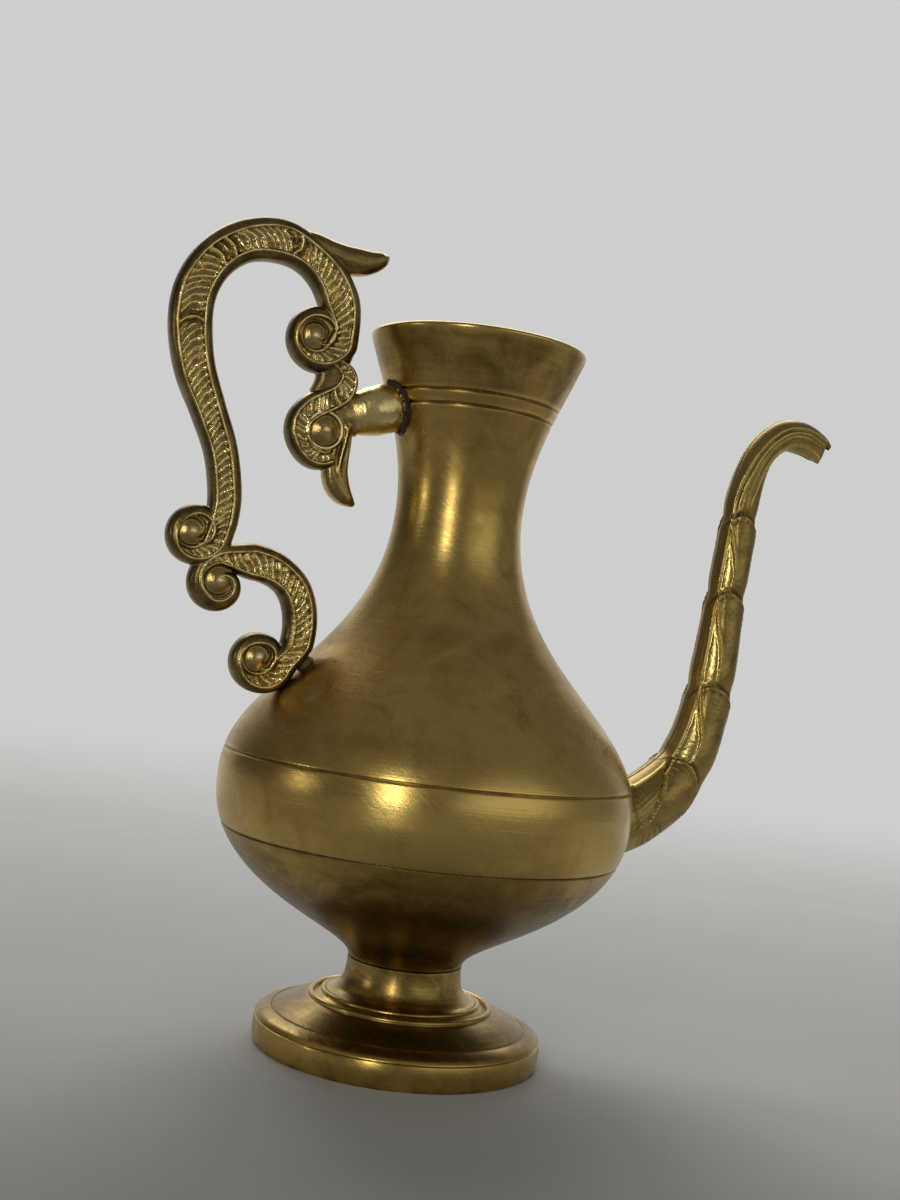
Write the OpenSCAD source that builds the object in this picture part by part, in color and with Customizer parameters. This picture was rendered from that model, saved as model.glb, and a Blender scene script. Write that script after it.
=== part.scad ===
// Brass ewer: a turned pedestal vessel with a cast scroll handle and a cast two-shell spout.
// Millimetres, +Z up. The origin is the centre of the foot's underside.
// The spout points along +X and the handle along -X; both lie in the plane y = 0.

/* [Body] */
// Outside radius of the mouth
mouth_r = 27; // [25:0.5:29]
// Height of the mouth above the table
mouth_z = 176.2; // [172:0.5:181]
// Outside radius of the neck at its narrowest
neck_r = 15.9; // [14.5:0.1:17.5]
// Height of the narrowest part of the neck
neck_z = 134.6; // [131:0.2:138]
// Outside radius of the belly
belly_r = 51.5; // [48:0.5:56]
// Height where the belly starts to be widest
belly_z = 62.2; // [60:0.2:64]
// Straight height of the belly between its two curves
belly_land = 2.2; // [1:0.1:4]
// Thickness of the sheet that the body is raised from
wall = 1.6; // [1.2:0.1:2]
// How far the lower bowl's inner lip laps into the upper body
lap_h = 3; // [2:0.25:4]
// Thickness of the lapped lip
lap_wall = 1; // [0.8:0.1:1.4]
// Height of the seam between the two body shells
seam_z = 52; // [50:0.25:53]
// Height of the turned line on the upper belly
belly_line_z = 70.5; // [69:0.5:76]
// Height of the upper of the two turned lines on the neck
neck_line_z = 161.6; // [158:0.2:166]
// Distance between the two turned lines on the neck
neck_line_gap = 3.2; // [2:0.2:5]
// Width of a turned line
line_w = 0.7; // [0.4:0.1:1]
// Depth of a turned line
line_depth = 0.3; // [0.15:0.05:0.5]

/* [Foot] */
// Outside radius of the foot
foot_r = 35.7; // [33.5:0.1:40]
// Height of the foot's side band, up to its turned line
foot_band_h = 6.3; // [5:0.1:7]
// Radius of the turned line on top of the foot
foot_line_r = 31.4; // [29:0.1:32.5]
// Height of the turned line on top of the foot
foot_line_h = 8.6; // [8:0.1:9.6]
// Height of the top of the foot beside the beads
foot_plate_h = 12; // [11:0.1:12.8]
// Radius of the outer of the two beads around the stem
outer_bead_r = 22.2; // [20.5:0.1:24]
// Radius of the inner of the two beads around the stem
inner_bead_r = 19.2; // [18:0.1:20]
// Thickness of one bead
bead_d = 1.3; // [0.8:0.1:1.6]
// Outside radius of the stem
stem_r = 14.2; // [13:0.1:15]
// Height of the joint between stem and bowl
stem_z = 22.2; // [21:0.2:24]
// Wall left around the hollow under the foot
foot_wall = 3.4; // [2.6:0.1:4.5]
// Radius of the hub that is faced off level with the foot's rim
foot_hub_r = 7; // [5.5:0.25:9]
// Radius of the tenon that holds the foot to the bowl
tenon_r = 5; // [4:0.25:6.5]
// Thickness of the bowl's floor
floor_t = 2.4; // [1.6:0.1:3]

/* [Handle] */
// Thickness of the handle casting
handle_t = 7; // [6:0.1:8.5]
// Depth of the sunk panel between the handle's raised edges
panel_depth = 0.6; // [0.3:0.05:0.9]
// Half width of the smooth bevel outside each raised edge
edge_w = 1.8; // [1.2:0.1:2.2]
// Radius of the bosses in the eyes of the scrolls
eye_r = 4.4; // [4:0.1:5]
// Half height of the neck strut where it meets the neck
strut_neck_r = 6.3; // [5.5:0.1:7]
// Half height of the neck strut where it meets the handle
strut_handle_r = 5.2; // [4.5:0.1:5.8]
// Radius of the tenon between strut and handle
strut_tenon_r = 1.8; // [1.4:0.1:2.2]
// Length of the tenon between strut and handle
strut_tenon_l = 4; // [3:0.25:5]
// Radius of the peg between the lower scroll and the shoulder
peg_r = 1.5; // [1.2:0.1:1.8]
// Width of the solder fillets
solder_w = 1.5; // [1:0.1:2]

/* [Spout] */
// Thickness of the spout's shells
spout_wall = 1.3; // [1.0:0.1:1.7]
// Radius of the port drilled through the belly behind the spout
port_r = 4.5; // [3.5:0.1:5]
// Depth of the waist at each joint of the spout
joint_depth = 0.45; // [0:0.05:0.7]
// How far the tongue of the spout's lip reaches past its sides
tongue = 4.25; // [3.5:0.25:5]
// How far the sides of the spout's lip are cut back
lip_cut = 3.5; // [3:0.25:5]
// Width of the solder line along the two seams of the spout
seam_w = 1.2; // [0.8:0.1:1.6]

/* [Hidden] */
$fn = 96;
// Clearance between turned parts that fit into each other
fit = 0.05;
// Solder gap between a curved face and what is seated on it
seat_gap = 0.04;
brass = "#9a7f3c";
polished_brass = "#b39449";
solder = "#6d6250";

// ---- Curves ----

function lerp(a, b, t) = a + (b - a) * t;

function unit(v) = v / norm(v);

function reversed(list) = [for (i = [len(list) - 1:-1:0]) list[i]];

// Point at t on a cubic Bezier curve with the four points p
function bezier(p, t) =
    p[0] * pow(1 - t, 3) + p[1] * 3 * t * pow(1 - t, 2)
    + p[2] * 3 * t * t * (1 - t) + p[3] * pow(t, 3);

function bezier_run(p, n) = [for (i = [0:n]) bezier(p, i / n)];

// Point at t, in steps of one control point, on a smooth curve through the points p
function through(p, t) =
    let (
        last = len(p) - 1,
        i = min(floor(t), last - 1),
        f = t - i,
        a = p[max(i - 1, 0)],
        b = p[i],
        c = p[i + 1],
        d = p[min(i + 2, last)]
    )
    b + (c - a) * f / 2
    + (a * 2 - b * 5 + c * 4 - d) * f * f / 2
    + (b * 3 - a - c * 3 + d) * f * f * f / 2;

// The curve through p, with a given number of steps for each control point
function through_run(p, steps) = [for (i = [0:(len(p) - 1) * steps]) through(p, i / steps)];

// Direction of the list of points p at its point i
function heading(p, i) = unit(p[min(i + 1, len(p) - 1)] - p[max(i - 1, 0)]);

// ---- Body outline, as [radius, height] from the stem up ----

under_curve = [
    [stem_r, stem_z], [stem_r, stem_z + 7.6],
    [belly_r, belly_z - 25.7], [belly_r, belly_z]
];
shoulder_curve = [
    [belly_r, belly_z + belly_land], [belly_r, belly_z + belly_land + 24],
    [neck_r, neck_z - 38.4], [neck_r, neck_z]
];
lip_lean = 0.34;
lip_pull = 12;
lip_z = mouth_z - wall / 2;
flare_curve = [
    [neck_r, neck_z], [neck_r, neck_z + 16],
    [mouth_r - lip_lean * lip_pull, lip_z - lip_pull], [mouth_r, lip_z]
];
flare_run = bezier_run(flare_curve, 16);
body_outline = concat(
    bezier_run(under_curve, 22),
    bezier_run(shoulder_curve, 30),
    [for (i = [1:len(flare_run) - 1]) flare_run[i]]
);

// The outline p moved inwards by d, square to itself
function inset(p, d) = [
    for (i = [0:len(p) - 1]) let (t = heading(p, i)) p[i] + d * [-t[1], t[0]]
];
body_lining = inset(body_outline, wall);

function radius_at(p, z) = lookup(z, [for (q = p) [q[1], q[0]]]);

// Outside radius of the body at a height
function body_r(z) = radius_at(body_outline, z);

// Stretch of the outline p between two heights
function stretch(p, z0, z1) = concat(
    [[radius_at(p, z0), z0]],
    [for (q = p) if (q[1] > z0 + line_w / 4 && q[1] < z1 - line_w / 4) q],
    [[radius_at(p, z1), z1]]
);

// ---- Body shells ----

// Ring with a V-shaped section, which cuts a turned line at a height
module turned_line(z) {
    r = body_r(z);
    rotate_extrude()
        polygon([[r - line_depth, z], [r + line_depth, z + line_w], [r + line_depth, z - line_w]]);
}

seam_groove = line_w / 2;

module upper_body() {
    top = len(body_outline) - 1;
    up = heading(body_outline, top);
    out = [up[1], -up[0]];
    lip_middle = body_outline[top] - out * wall / 2;
    lip = [for (a = [30:30:150]) lip_middle + (out * cos(a) + up * sin(a)) * wall / 2];
    outer = stretch(body_outline, seam_z + seam_groove, lip_z);
    inner = stretch(body_lining, seam_z, body_lining[top][1]);
    color(brass)
        difference() {
            rotate_extrude()
                polygon(concat([[body_r(seam_z) - seam_groove, seam_z]], outer, lip, reversed(inner)));
            turned_line(belly_line_z);
            turned_line(neck_line_z);
            turned_line(neck_line_z - neck_line_gap);
            spout_port();
            peg_body(fit, peg_l);
        }
}

module lower_bowl() {
    inner_z = stem_z + floor_t;
    lap_low = seam_z - lap_h;
    lap_top = seam_z + lap_h;
    outer = stretch(body_outline, stem_z, seam_z - seam_groove);
    lining = stretch(body_lining, inner_z, lap_low - lap_wall);
    color(brass)
        rotate_extrude()
            polygon(concat(
                [[tenon_r + fit, stem_z]],
                outer,
                [
                    [body_r(seam_z) - seam_groove, seam_z],
                    [radius_at(body_lining, seam_z) - fit, seam_z],
                    [radius_at(body_lining, lap_top) - fit, lap_top],
                    [radius_at(body_lining, lap_top) - fit - lap_wall, lap_top],
                    [radius_at(body_lining, lap_low) - lap_wall, lap_low]
                ],
                reversed(lining),
                [[tenon_r + fit, inner_z]]
            ));
}

// Braze that fills the groove between the two body shells, left a little hollow
module body_seam_braze() {
    r = body_r(seam_z);
    full = 0.7;
    color(solder)
        rotate_extrude()
            polygon([
                [r - seam_groove, seam_z],
                [r - seam_groove * (1 - full), seam_z + seam_groove * full],
                [r - seam_groove * (1 - full), seam_z - seam_groove * full]
            ]);
}

// ---- Foot ----

braze_t = 0.5;
foot_base_r = foot_r - 0.6;
hollow_r = foot_base_r - foot_wall;
hollow_z = foot_plate_h - foot_wall;
cove_z = foot_plate_h + bead_d * 1.4;
cove = bezier_run([
    [inner_bead_r - bead_d / 2, cove_z], [stem_r + 1.4, cove_z + 0.4],
    [stem_r, cove_z + 2.6], [stem_r, stem_z - braze_t]
], 12);
plate = bezier_run([
    [outer_bead_r + bead_d / 2, foot_plate_h], [outer_bead_r + 4.8, foot_plate_h - 1.2],
    [foot_line_r - 1.9, foot_line_h + 0.8], [foot_line_r - 0.3, foot_line_h]
], 8);
rim = bezier_run([
    [foot_line_r + 0.3, foot_line_h - 0.1], [foot_line_r + 2.2, foot_line_h - 0.6],
    [foot_r - 0.6, foot_band_h + 1], [foot_r - 0.4, foot_band_h + 0.1]
], 8);
band = bezier_run([
    [foot_r - 0.3, foot_band_h - 0.2], [foot_r + 0.05, foot_band_h * 0.7],
    [foot_r, foot_band_h * 0.25], [foot_base_r, 0]
], 8);

module foot() {
    color(brass) {
        rotate_extrude()
            polygon(concat(
                [
                    [0, stem_z + floor_t + braze_t], [tenon_r - braze_t, stem_z + floor_t + braze_t],
                    [tenon_r, stem_z + floor_t], [tenon_r, stem_z - braze_t]
                ],
                reversed(cove),
                [[(inner_bead_r + outer_bead_r) / 2, foot_plate_h + bead_d / 4]],
                plate,
                [[foot_line_r, foot_line_h - 0.3]],
                rim,
                [[foot_r - 0.6, foot_band_h]],
                band,
                [
                    [hollow_r, 0], [hollow_r - foot_wall / 2, hollow_z - foot_wall],
                    [hollow_r - foot_wall * 2, hollow_z - foot_wall / 2],
                    [foot_hub_r + foot_wall, hollow_z],
                    [foot_hub_r, hollow_z - foot_wall], [foot_hub_r, 0], [0, 0]
                ]
            ));
        bead(inner_bead_r, cove_z - bead_d * 0.4);
        bead(outer_bead_r, foot_plate_h + bead_d * 0.3);
    }
}

// Round bead that runs around the foot
module bead(r, z) {
    rotate_extrude()
        translate([r, z])
            circle(d = bead_d, $fn = 32);
}

module foot_braze() {
    color(solder)
        translate([0, 0, stem_z - braze_t])
            difference() {
                cylinder(r = stem_r, h = braze_t);
                translate([0, 0, -braze_t])
                    cylinder(r = tenon_r + fit, h = braze_t * 3);
            }
}

// ---- Lofted solids ----

// Two triangles for each four-sided patch between the point rows i and i + 1, n points a row
function patches(i, n, across, start) = [
    for (j = [0:across - 1], half = [0, 1])
        let (
            a = start + i * n + j,
            b = start + i * n + (j + 1) % n
        )
        half == 0 ? [a, b, b + n] : [a, b + n, a + n]
];

// Solid through rings of points that go round counter-clockwise, seen along the path
module loft(rings) {
    n = len(rings[0]);
    last = len(rings) - 1;
    polyhedron(
        points = [for (ring = rings, p = ring) p],
        faces = concat(
            [[for (j = [n - 1:-1:0]) j]],
            [for (i = [0:last - 1], face = patches(i, n, n, 0)) face],
            [[for (j = [0:n - 1]) last * n + j]]
        ),
        convexity = 10
    );
}

// Shell between two sets of rings with as many points each; open shells get flat edges
module shell_loft(outer, inner, closed) {
    n = len(outer[0]);
    last = len(outer) - 1;
    across = closed ? n : n - 1;
    from_inner = len(outer) * n;
    function flip(face) = [face[2], face[1], face[0]];
    ends = [
        for (i = [0, last], j = [0:across - 1], half = [0, 1])
            let (
                a = i * n + j,
                b = i * n + (j + 1) % n,
                c = from_inner + a,
                d = from_inner + b,
                face = half == 0 ? [a, c, d] : [a, d, b]
            )
            i == 0 ? face : flip(face)
    ];
    edges = closed ? [] : [
        for (j = [0, n - 1], i = [0:last - 1], half = [0, 1])
            let (
                a = i * n + j,
                b = a + n,
                c = from_inner + a,
                d = c + n,
                face = half == 0 ? [a, b, d] : [a, d, c]
            )
            j == 0 ? face : flip(face)
    ];
    polyhedron(
        points = concat([for (ring = outer, p = ring) p], [for (ring = inner, p = ring) p]),
        faces = concat(
            [for (i = [0:last - 1], face = patches(i, n, across, 0)) face],
            [for (i = [0:last - 1], face = patches(i, n, across, from_inner)) flip(face)],
            ends,
            edges
        ),
        convexity = 10
    );
}

// Point p moved along the direction d until it rests on the body, a gap clear of it
function seated(p, d, gap, tries = 14) =
    tries == 0 ? p : seated(p + d * (norm([p[0], p[1]]) - body_r(p[2]) - gap) * 0.8, d, gap, tries - 1);

// ---- Handle ----

// Strokes of the handle: [x, height above the neck's narrowest part, half width].
// The main stroke runs from the lower back scroll over the top to the upper front scroll.
main_stroke = [
    [-60.2, -11.5, 3.8], [-60.1, -5, 3.85], [-62.3, 4.9, 3.9], [-66.7, 14.4, 4.2],
    [-71, 23.4, 4.75], [-73.3, 33.4, 5.05], [-72.9, 41.9, 5.05], [-69.1, 49.5, 4.95],
    [-62.4, 54.8, 4.95], [-54, 56.5, 5.2], [-47, 54.4, 4.6], [-41.5, 50.3, 4.8],
    [-37.9, 44.7, 4.9], [-36, 39.2, 3.8]
];
lower_stroke = [
    [-52, -19.4, 4.4], [-47.3, -20.2, 4.3], [-43.3, -22.2, 4.1], [-40.4, -25.1, 4.1],
    [-38.6, -29.2, 4.1], [-37.9, -34, 4], [-38.2, -38.3, 3.95]
];
middle_stroke = [
    [-38.6, 30.7, 1.3], [-36, 29.7, 1.8], [-34.3, 28.1, 2.4], [-34, 26, 2.8], [-35.2, 23.2, 3.1],
    [-38.4, 21.1, 3.2], [-41.8, 19.1, 3.2], [-44.3, 16.2, 3], [-44.8, 12.8, 2.8],
    [-43.7, 9.8, 2.6], [-41.3, 7.4, 2.5], [-38.4, 6.7, 2.4], [-35.8, 7.6, 2.2]
];
top_tail = [
    [-51, 57.6, 2.5], [-46, 57.2, 2.9], [-42, 56.2, 3.1], [-38, 55.5, 3.4],
    [-34.6, 55.6, 3.3], [-31.6, 56.1, 2.8], [-29, 57.2, 2], [-27, 58.6, 0.6]
];
front_tail = [
    [-33.3, 15.9, 2.5], [-33, 11.9, 2.6], [-32.8, 7.9, 2.9], [-32.4, 4.2, 3.1],
    [-31.3, 1, 2.8], [-29.6, -1.4, 1.9], [-27.6, -2.1, 0.6]
];

// Scroll end of a stroke around the centre c: outside radius r0 to r1, half width w0 to w1.
// The radius falls off faster with a larger fall.
function scroll(c, a0, a1, r0, r1, w0, w1, fall = 2) =
    let (steps = ceil(abs(a1 - a0) / 15))
    [
        for (i = [0:steps])
            let (
                f = i / steps,
                a = lerp(a0, a1, f),
                w = lerp(w0, w1, f),
                r = r1 + (r0 - r1) * pow(1 - f, fall) - w
            )
            [c[0] + r * cos(a), c[1] + r * sin(a), w]
    ];

back_eye = [-65.9, -14.9];
upper_eye = [-42.3, 35.7];
middle_eye = [-59.8, -25.7];
lower_eye = [-47.4, -42.7];
front_eye = [-38.9, 14];

main_path = concat(
    reversed(scroll(back_eye, -12, -270, 8.5, 6.8, 3, 1.6)),
    through_run(main_stroke, 4),
    scroll(upper_eye, -12, -270, 9.4, 6.9, 3, 1.6)
);
lower_path = concat(
    reversed(scroll(middle_eye, 78, 320, 10.2, 6.5, 3.6, 1.6, 4)),
    through_run(lower_stroke, 4),
    scroll(lower_eye, -12, -270, 10.2, 6.9, 3.4, 1.6, 5)
);

// How far the handle stands out so that its lower scroll just touches the shoulder
handle_out = max([
    for (i = [1:len(lower_path) - 1])
        let (
            q = lower_path[i],
            t = heading([for (p = lower_path) [p[0], p[1]]], i),
            edge = [q[0], q[1]] + [t[1], -t[0]] * q[2]
        )
        abs(t[1]) > 0.2 ? body_r(neck_z + edge[1]) + edge[0] : -1,
    for (i = [1:len(lower_path) - 1])
        let (
            q = lower_path[i],
            t = heading([for (p = lower_path) [p[0], p[1]]], i),
            edge = [q[0], q[1]] - [t[1], -t[0]] * q[2]
        )
        abs(t[1]) > 0.2 ? body_r(neck_z + edge[1]) + edge[0] : -1
]) + seat_gap * 3;

// Place of a handle point in the part's frame
function on_handle(p, y = 0) = [p[0] - handle_out, y, p[1] + neck_z];

// Section of a stroke with a bevel, a raised edge and a sunk panel on both faces
function panel_section(w, t) =
    let (
        h = t / 2,
        edge = min(edge_w, w * 0.5),
        panel = max(w - edge - 0.6, 0.2),
        half = [[w, h * 0.3], [w - edge * 0.35, h * 0.75], [w - edge, h], [panel, h - panel_depth]]
    )
    concat(
        half,
        [for (p = reversed(half)) [-p[0], p[1]]],
        [for (p = half) [-p[0], -p[1]]],
        [for (p = reversed(half)) [p[0], -p[1]]]
    );

// Section of a smooth leaf-shaped tail
function leaf_section(w, t) = [for (a = [15:30:345]) [w * cos(a) / cos(15), t / 2 * sin(a)]];

// Rings of points around a stroke's path
function stroke_rings(path, t, leaf) =
    let (flat = [for (p = path) [p[0], p[1]]])
    [
        for (i = [0:len(path) - 1])
            let (
                dir = heading(flat, i),
                side = [-dir[1], dir[0]],
                w = path[i][2],
                thick = leaf ? min(t, w * 3.2) : t
            )
            [
                for (q = leaf ? leaf_section(w, thick) : panel_section(w, thick))
                    on_handle(flat[i] + side * q[0], q[1])
            ]
    ];

module eye(c, r) {
    translate(on_handle(c))
        sphere(r = r, $fn = 32);
}

module scroll_handle() {
    color(brass)
        difference() {
            union() {
                loft(stroke_rings(main_path, handle_t, false));
                loft(stroke_rings(lower_path, handle_t - 0.2, false));
                loft(stroke_rings(through_run(middle_stroke, 3), handle_t - 0.5, false));
                loft(stroke_rings(through_run(top_tail, 2), handle_t - 0.8, true));
                loft(stroke_rings(through_run(front_tail, 2), handle_t - 1, true));
                loft([for (s = [-0.5, 0]) strut_ring(s)]);
                eye(back_eye - [1, 0], eye_r);
                eye(upper_eye - [1.6, 0], eye_r);
                eye(middle_eye, eye_r);
                eye(lower_eye - [0.8, 0], eye_r);
                eye(front_eye, eye_r);
            }
            strut_tenon(fit, strut_tenon_l + fit * 2);
            peg_body(fit, peg_l);
        }
}

// ---- Neck strut ----

strut_start = [-31.6, 18.7];
strut_slope = 20;
strut_dir = [cos(strut_slope), 0, sin(strut_slope)];
strut_up = [-sin(strut_slope), 0, cos(strut_slope)];
strut_end = seated(on_handle(strut_start), strut_dir, 0);
strut_l = norm(strut_end - on_handle(strut_start));

// Section of the strut at s, from 0 at the handle to 1 at the neck, widened by extra
function strut_section(s, extra = 0) =
    let (
        swell = sin(min(max(s, 0), 1) * 90),
        high = lerp(strut_handle_r, strut_neck_r, swell) + min(s, 0) * 1.2 + extra,
        wide = lerp(handle_t / 2 - 0.3, strut_neck_r - 0.1, swell) + min(s, 0) * 1.2 + extra
    )
    [for (a = [0:15:345]) strut_up * high * cos(a) + [0, wide * sin(a), 0]];

function strut_ring(s, extra = 0) = [
    for (q = strut_section(s, extra)) on_handle(strut_start) + strut_dir * strut_l * s + q
];

// The ring at s, run on along the strut until it rests on the neck, or stops short by back
function strut_seat(s, extra = 0, back = 0) = [
    for (p = strut_ring(s, extra)) seated(p, strut_dir, seat_gap) - strut_dir * back
];

strut_full = 0.8;
strut_seated = strut_seat(strut_full);

// Ring on the strut's end face at the share k of its width, each point resting on the neck
function strut_end_ring(k) = [
    for (q = strut_section(strut_full) * k)
        seated(on_handle(strut_start) + strut_dir * strut_l * strut_full + q, strut_dir, seat_gap)
];

// Ring at the share f of each point's own way from the handle to the neck
function strut_ring_part(f) =
    let (section = strut_section(strut_full * f), from = on_handle(strut_start))
    [
        for (k = [0:len(section) - 1])
            from + strut_dir * ((strut_seated[k] - from) * strut_dir) * f + section[k]
    ];

module strut_tenon(clearance, length) {
    translate(on_handle(strut_start))
        rotate([0, 90 - strut_slope, 0])
            translate([0, 0, -length])
                cylinder(r = strut_tenon_r + clearance, h = length + fit, $fn = 48);
}

module neck_strut() {
    color(polished_brass) {
        loft(concat(
            [for (i = [0:6]) strut_ring_part(i / 7)],
            [for (k = [1, 0.75, 0.5, 0.25, 0.04]) strut_end_ring(k)]
        ));
        strut_tenon(0, strut_tenon_l);
    }
}

// Rough fillet of hard solder around the strut's end
module neck_solder() {
    run = solder_w * 1.5;
    color(solder)
        shell_loft(
            [strut_seat(strut_full, seat_gap * 4, run), strut_seat(strut_full, solder_w)],
            [strut_seat(strut_full, seat_gap, run), strut_seat(strut_full, seat_gap)],
            true
        );
}

// ---- Shoulder peg ----

peg_start = [-38, -38.6];
peg_slope = -45;
peg_dir = [cos(peg_slope), 0, sin(peg_slope)];
// How far the peg runs from the middle of the handle to the shoulder
peg_reach = norm(seated(on_handle(peg_start), peg_dir, 0) - on_handle(peg_start));
peg_l = peg_reach + wall * 2;

module peg_body(clearance, length) {
    translate(on_handle(peg_start))
        rotate([0, 90 - peg_slope, 0])
            cylinder(r = peg_r + clearance, h = length, $fn = 48);
}

module shoulder_peg() {
    color(polished_brass)
        peg_body(0, peg_l - fit);
}

// Ring around the peg at a distance along it
function peg_ring(s, r) =
    let (up = [-sin(peg_slope), 0, cos(peg_slope)])
    [for (a = [0:20:340]) on_handle(peg_start) + peg_dir * s + up * r * cos(a) + [0, r * sin(a), 0]];

// The same ring, run on along the peg until it rests on the shoulder
function peg_ring_seat(r) = [for (p = peg_ring(peg_reach, r)) seated(p, peg_dir, seat_gap)];

module peg_solder() {
    color(solder)
        shell_loft(
            [peg_ring(peg_reach - solder_w, peg_r + fit * 3), peg_ring_seat(peg_r + solder_w * 0.6)],
            [peg_ring(peg_reach - solder_w, peg_r + fit), peg_ring_seat(peg_r + fit)],
            true
        );
}

// ---- Spout ----

// Centreline of the spout: [out from the belly, up from the belly's widest line, outside radius]
spout_stroke = [
    [4.5, -0.9, 9.45], [10.5, 1.7, 8.9], [19, 8.8, 8.1], [24.8, 18.3, 7.1], [27.9, 30.8, 6.4],
    [29.4, 44.8, 5.95], [30.1, 58.8, 5.3], [31.2, 72.8, 5.1], [32.4, 88.8, 4.5],
    [35.7, 100.2, 4.1], [42, 106.6, 4.15], [48.5, 107.45, 4.45], [54.5, 105.75, 4.05], [57.3, 104.25, 3.3]
];
// Heights of the joints in the spout, above the belly's widest line
spout_joints = [13.5, 35.5, 61.3, 82.5];
joint_reach = 2.6;
spout_steps = 4;
spout_run = [for (p = through_run(spout_stroke, spout_steps)) [p[0] + belly_r, p[1] + belly_z, p[2]]];
spout_flat = [for (p = spout_run) [p[0], p[1]]];
spout_last = len(spout_run) - 1;
// Rings at the spout's end that the lip's shape bends
lip_rings = 16;

// Waist of the spout at a height, summed over its joints
function waist(z) =
    z > belly_z + 95 ? 0 : joint_depth * max([
        for (j = spout_joints) exp(-pow((z - belly_z - j) / joint_reach, 2))
    ]);

// How far the lip reaches on or is cut back at the angle a from the spout's inner side
function lip_reach(a) = tongue * exp(-pow(a / 28, 2)) - lip_cut * cos(a / 2);

// Point of the spout at ring i and angle a; the near side, -Y, has negative angles
function spout_point(i, a, depth) =
    let (
        t = heading(spout_flat, i),
        inner_side = [-t[1], 0, t[0]],
        r = spout_run[i][2] - waist(spout_run[i][1]) - depth,
        near_end = max(i - (spout_last - lip_rings), 0) / lip_rings,
        reach = lip_reach(abs(a)) * near_end * near_end
    )
    [spout_flat[i][0], 0, spout_flat[i][1]] + [t[0], 0, t[1]] * reach
    + inner_side * r * cos(a) + [0, r * sin(a), 0];

// Direction in which the spout leaves the belly
root_dir = [heading(spout_flat, 0)[0], 0, heading(spout_flat, 0)[1]];

// Ring of the spout; the first one is run back onto the belly
function spout_ring(i, angles, depth) = [
    for (a = angles)
        let (p = spout_point(i, a[0], depth + a[1]))
        i == 0 ? seated(p, -root_dir, seat_gap) : p
];

seam_a = asin(min(seam_w / 2 / 4, 1));
seam_depth = seam_w * 0.35;
// Angles around one shell with the depth of each point: its long edges are chamfered
function shell_angles(side, chamfer) = [
    [0.001 * side, chamfer],
    for (k = [0:12]) [side * lerp(seam_a, 180 - seam_a, k / 12), 0],
    [179.999 * side, chamfer]
];

module spout_shell(side) {
    outer_angles = side > 0 ? shell_angles(side, seam_depth) : reversed(shell_angles(side, seam_depth));
    inner_angles = side > 0 ? shell_angles(side, 0) : reversed(shell_angles(side, 0));
    color(brass)
        shell_loft(
            [for (i = [0:spout_last]) spout_ring(i, outer_angles, 0)],
            [for (i = [0:spout_last]) spout_ring(i, inner_angles, spout_wall)],
            false
        );
}

module spout_near_shell() {
    spout_shell(-1);
}

module spout_far_shell() {
    spout_shell(1);
}

// Solder lines in the two seams, one along the inside of the bend and one along the outside
module spout_seam_solder() {
    color(solder)
        for (middle = [0, 180])
            loft([
                for (i = [0:spout_last])
                    spout_ring(i, [
                        [middle, seam_depth - 0.03], [middle - seam_a, 0.02],
                        [middle, -0.1], [middle + seam_a, 0.02]
                    ], 0)
            ]);
}

// Fillet of solder around the spout's root
module spout_root_solder() {
    angles = [for (a = [-180:15:165]) [a, 0]];
    run = root_dir * solder_w * 1.5;
    color(solder)
        shell_loft(
            [spout_ring(0, angles, -solder_w), [for (p = spout_ring(0, angles, -0.2)) p + run]],
            [spout_ring(0, angles, -0.08), [for (p = spout_ring(0, angles, -0.08)) p + run]],
            true
        );
}

// Port through the belly wall behind the spout
module spout_port() {
    t = heading(spout_flat, 0);
    translate([belly_r, 0, seam_z + lap_h + port_r + 1])
        rotate([0, 90 - atan2(t[1], t[0]), 0])
            cylinder(r = port_r, h = wall * 10, center = true, $fn = 64);
}

foot();
foot_braze();
lower_bowl();
body_seam_braze();
upper_body();
scroll_handle();
neck_strut();
neck_solder();
shoulder_peg();
peg_solder();
spout_near_shell();
spout_far_shell();
spout_seam_solder();
spout_root_solder();
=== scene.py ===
"""Scene of a cast and turned brass coffee pot with a scrolled handle and a leaf-chased spout."""

import logging
import math
from dataclasses import dataclass, field
from enum import Enum
from typing import Any, Callable, Dict, List, Optional, Sequence, Tuple, Union

import bpy
import numpy as np
from mathutils import Matrix, Vector, kdtree


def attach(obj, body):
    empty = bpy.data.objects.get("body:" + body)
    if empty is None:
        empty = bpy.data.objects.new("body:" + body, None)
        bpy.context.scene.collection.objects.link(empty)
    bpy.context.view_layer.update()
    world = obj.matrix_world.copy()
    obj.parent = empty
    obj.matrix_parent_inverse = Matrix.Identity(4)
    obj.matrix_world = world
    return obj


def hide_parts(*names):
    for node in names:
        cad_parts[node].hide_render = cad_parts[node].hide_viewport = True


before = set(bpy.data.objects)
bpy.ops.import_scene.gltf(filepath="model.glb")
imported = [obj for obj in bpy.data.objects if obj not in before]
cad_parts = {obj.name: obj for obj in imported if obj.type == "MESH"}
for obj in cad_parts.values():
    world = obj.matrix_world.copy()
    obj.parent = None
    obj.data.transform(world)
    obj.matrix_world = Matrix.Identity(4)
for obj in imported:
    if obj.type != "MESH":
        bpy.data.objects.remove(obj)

LOG = logging.getLogger("coffee_pot")
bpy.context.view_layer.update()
MM = 0.001

Array = np.ndarray
Pair = Tuple[float, float]
Triple = Tuple[float, float, float]
Colour = Triple
Faces = List[Tuple[int, ...]]
Piece = bpy.types.Object
Material = bpy.types.Material

PLAIN = 0.5  # how rubbed a face is where nothing else is said
ACROSS = np.array([0, 1, 0])  # direction through the flat castings


# ---- Curves and small shape sums, all in millimetres ----


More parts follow.
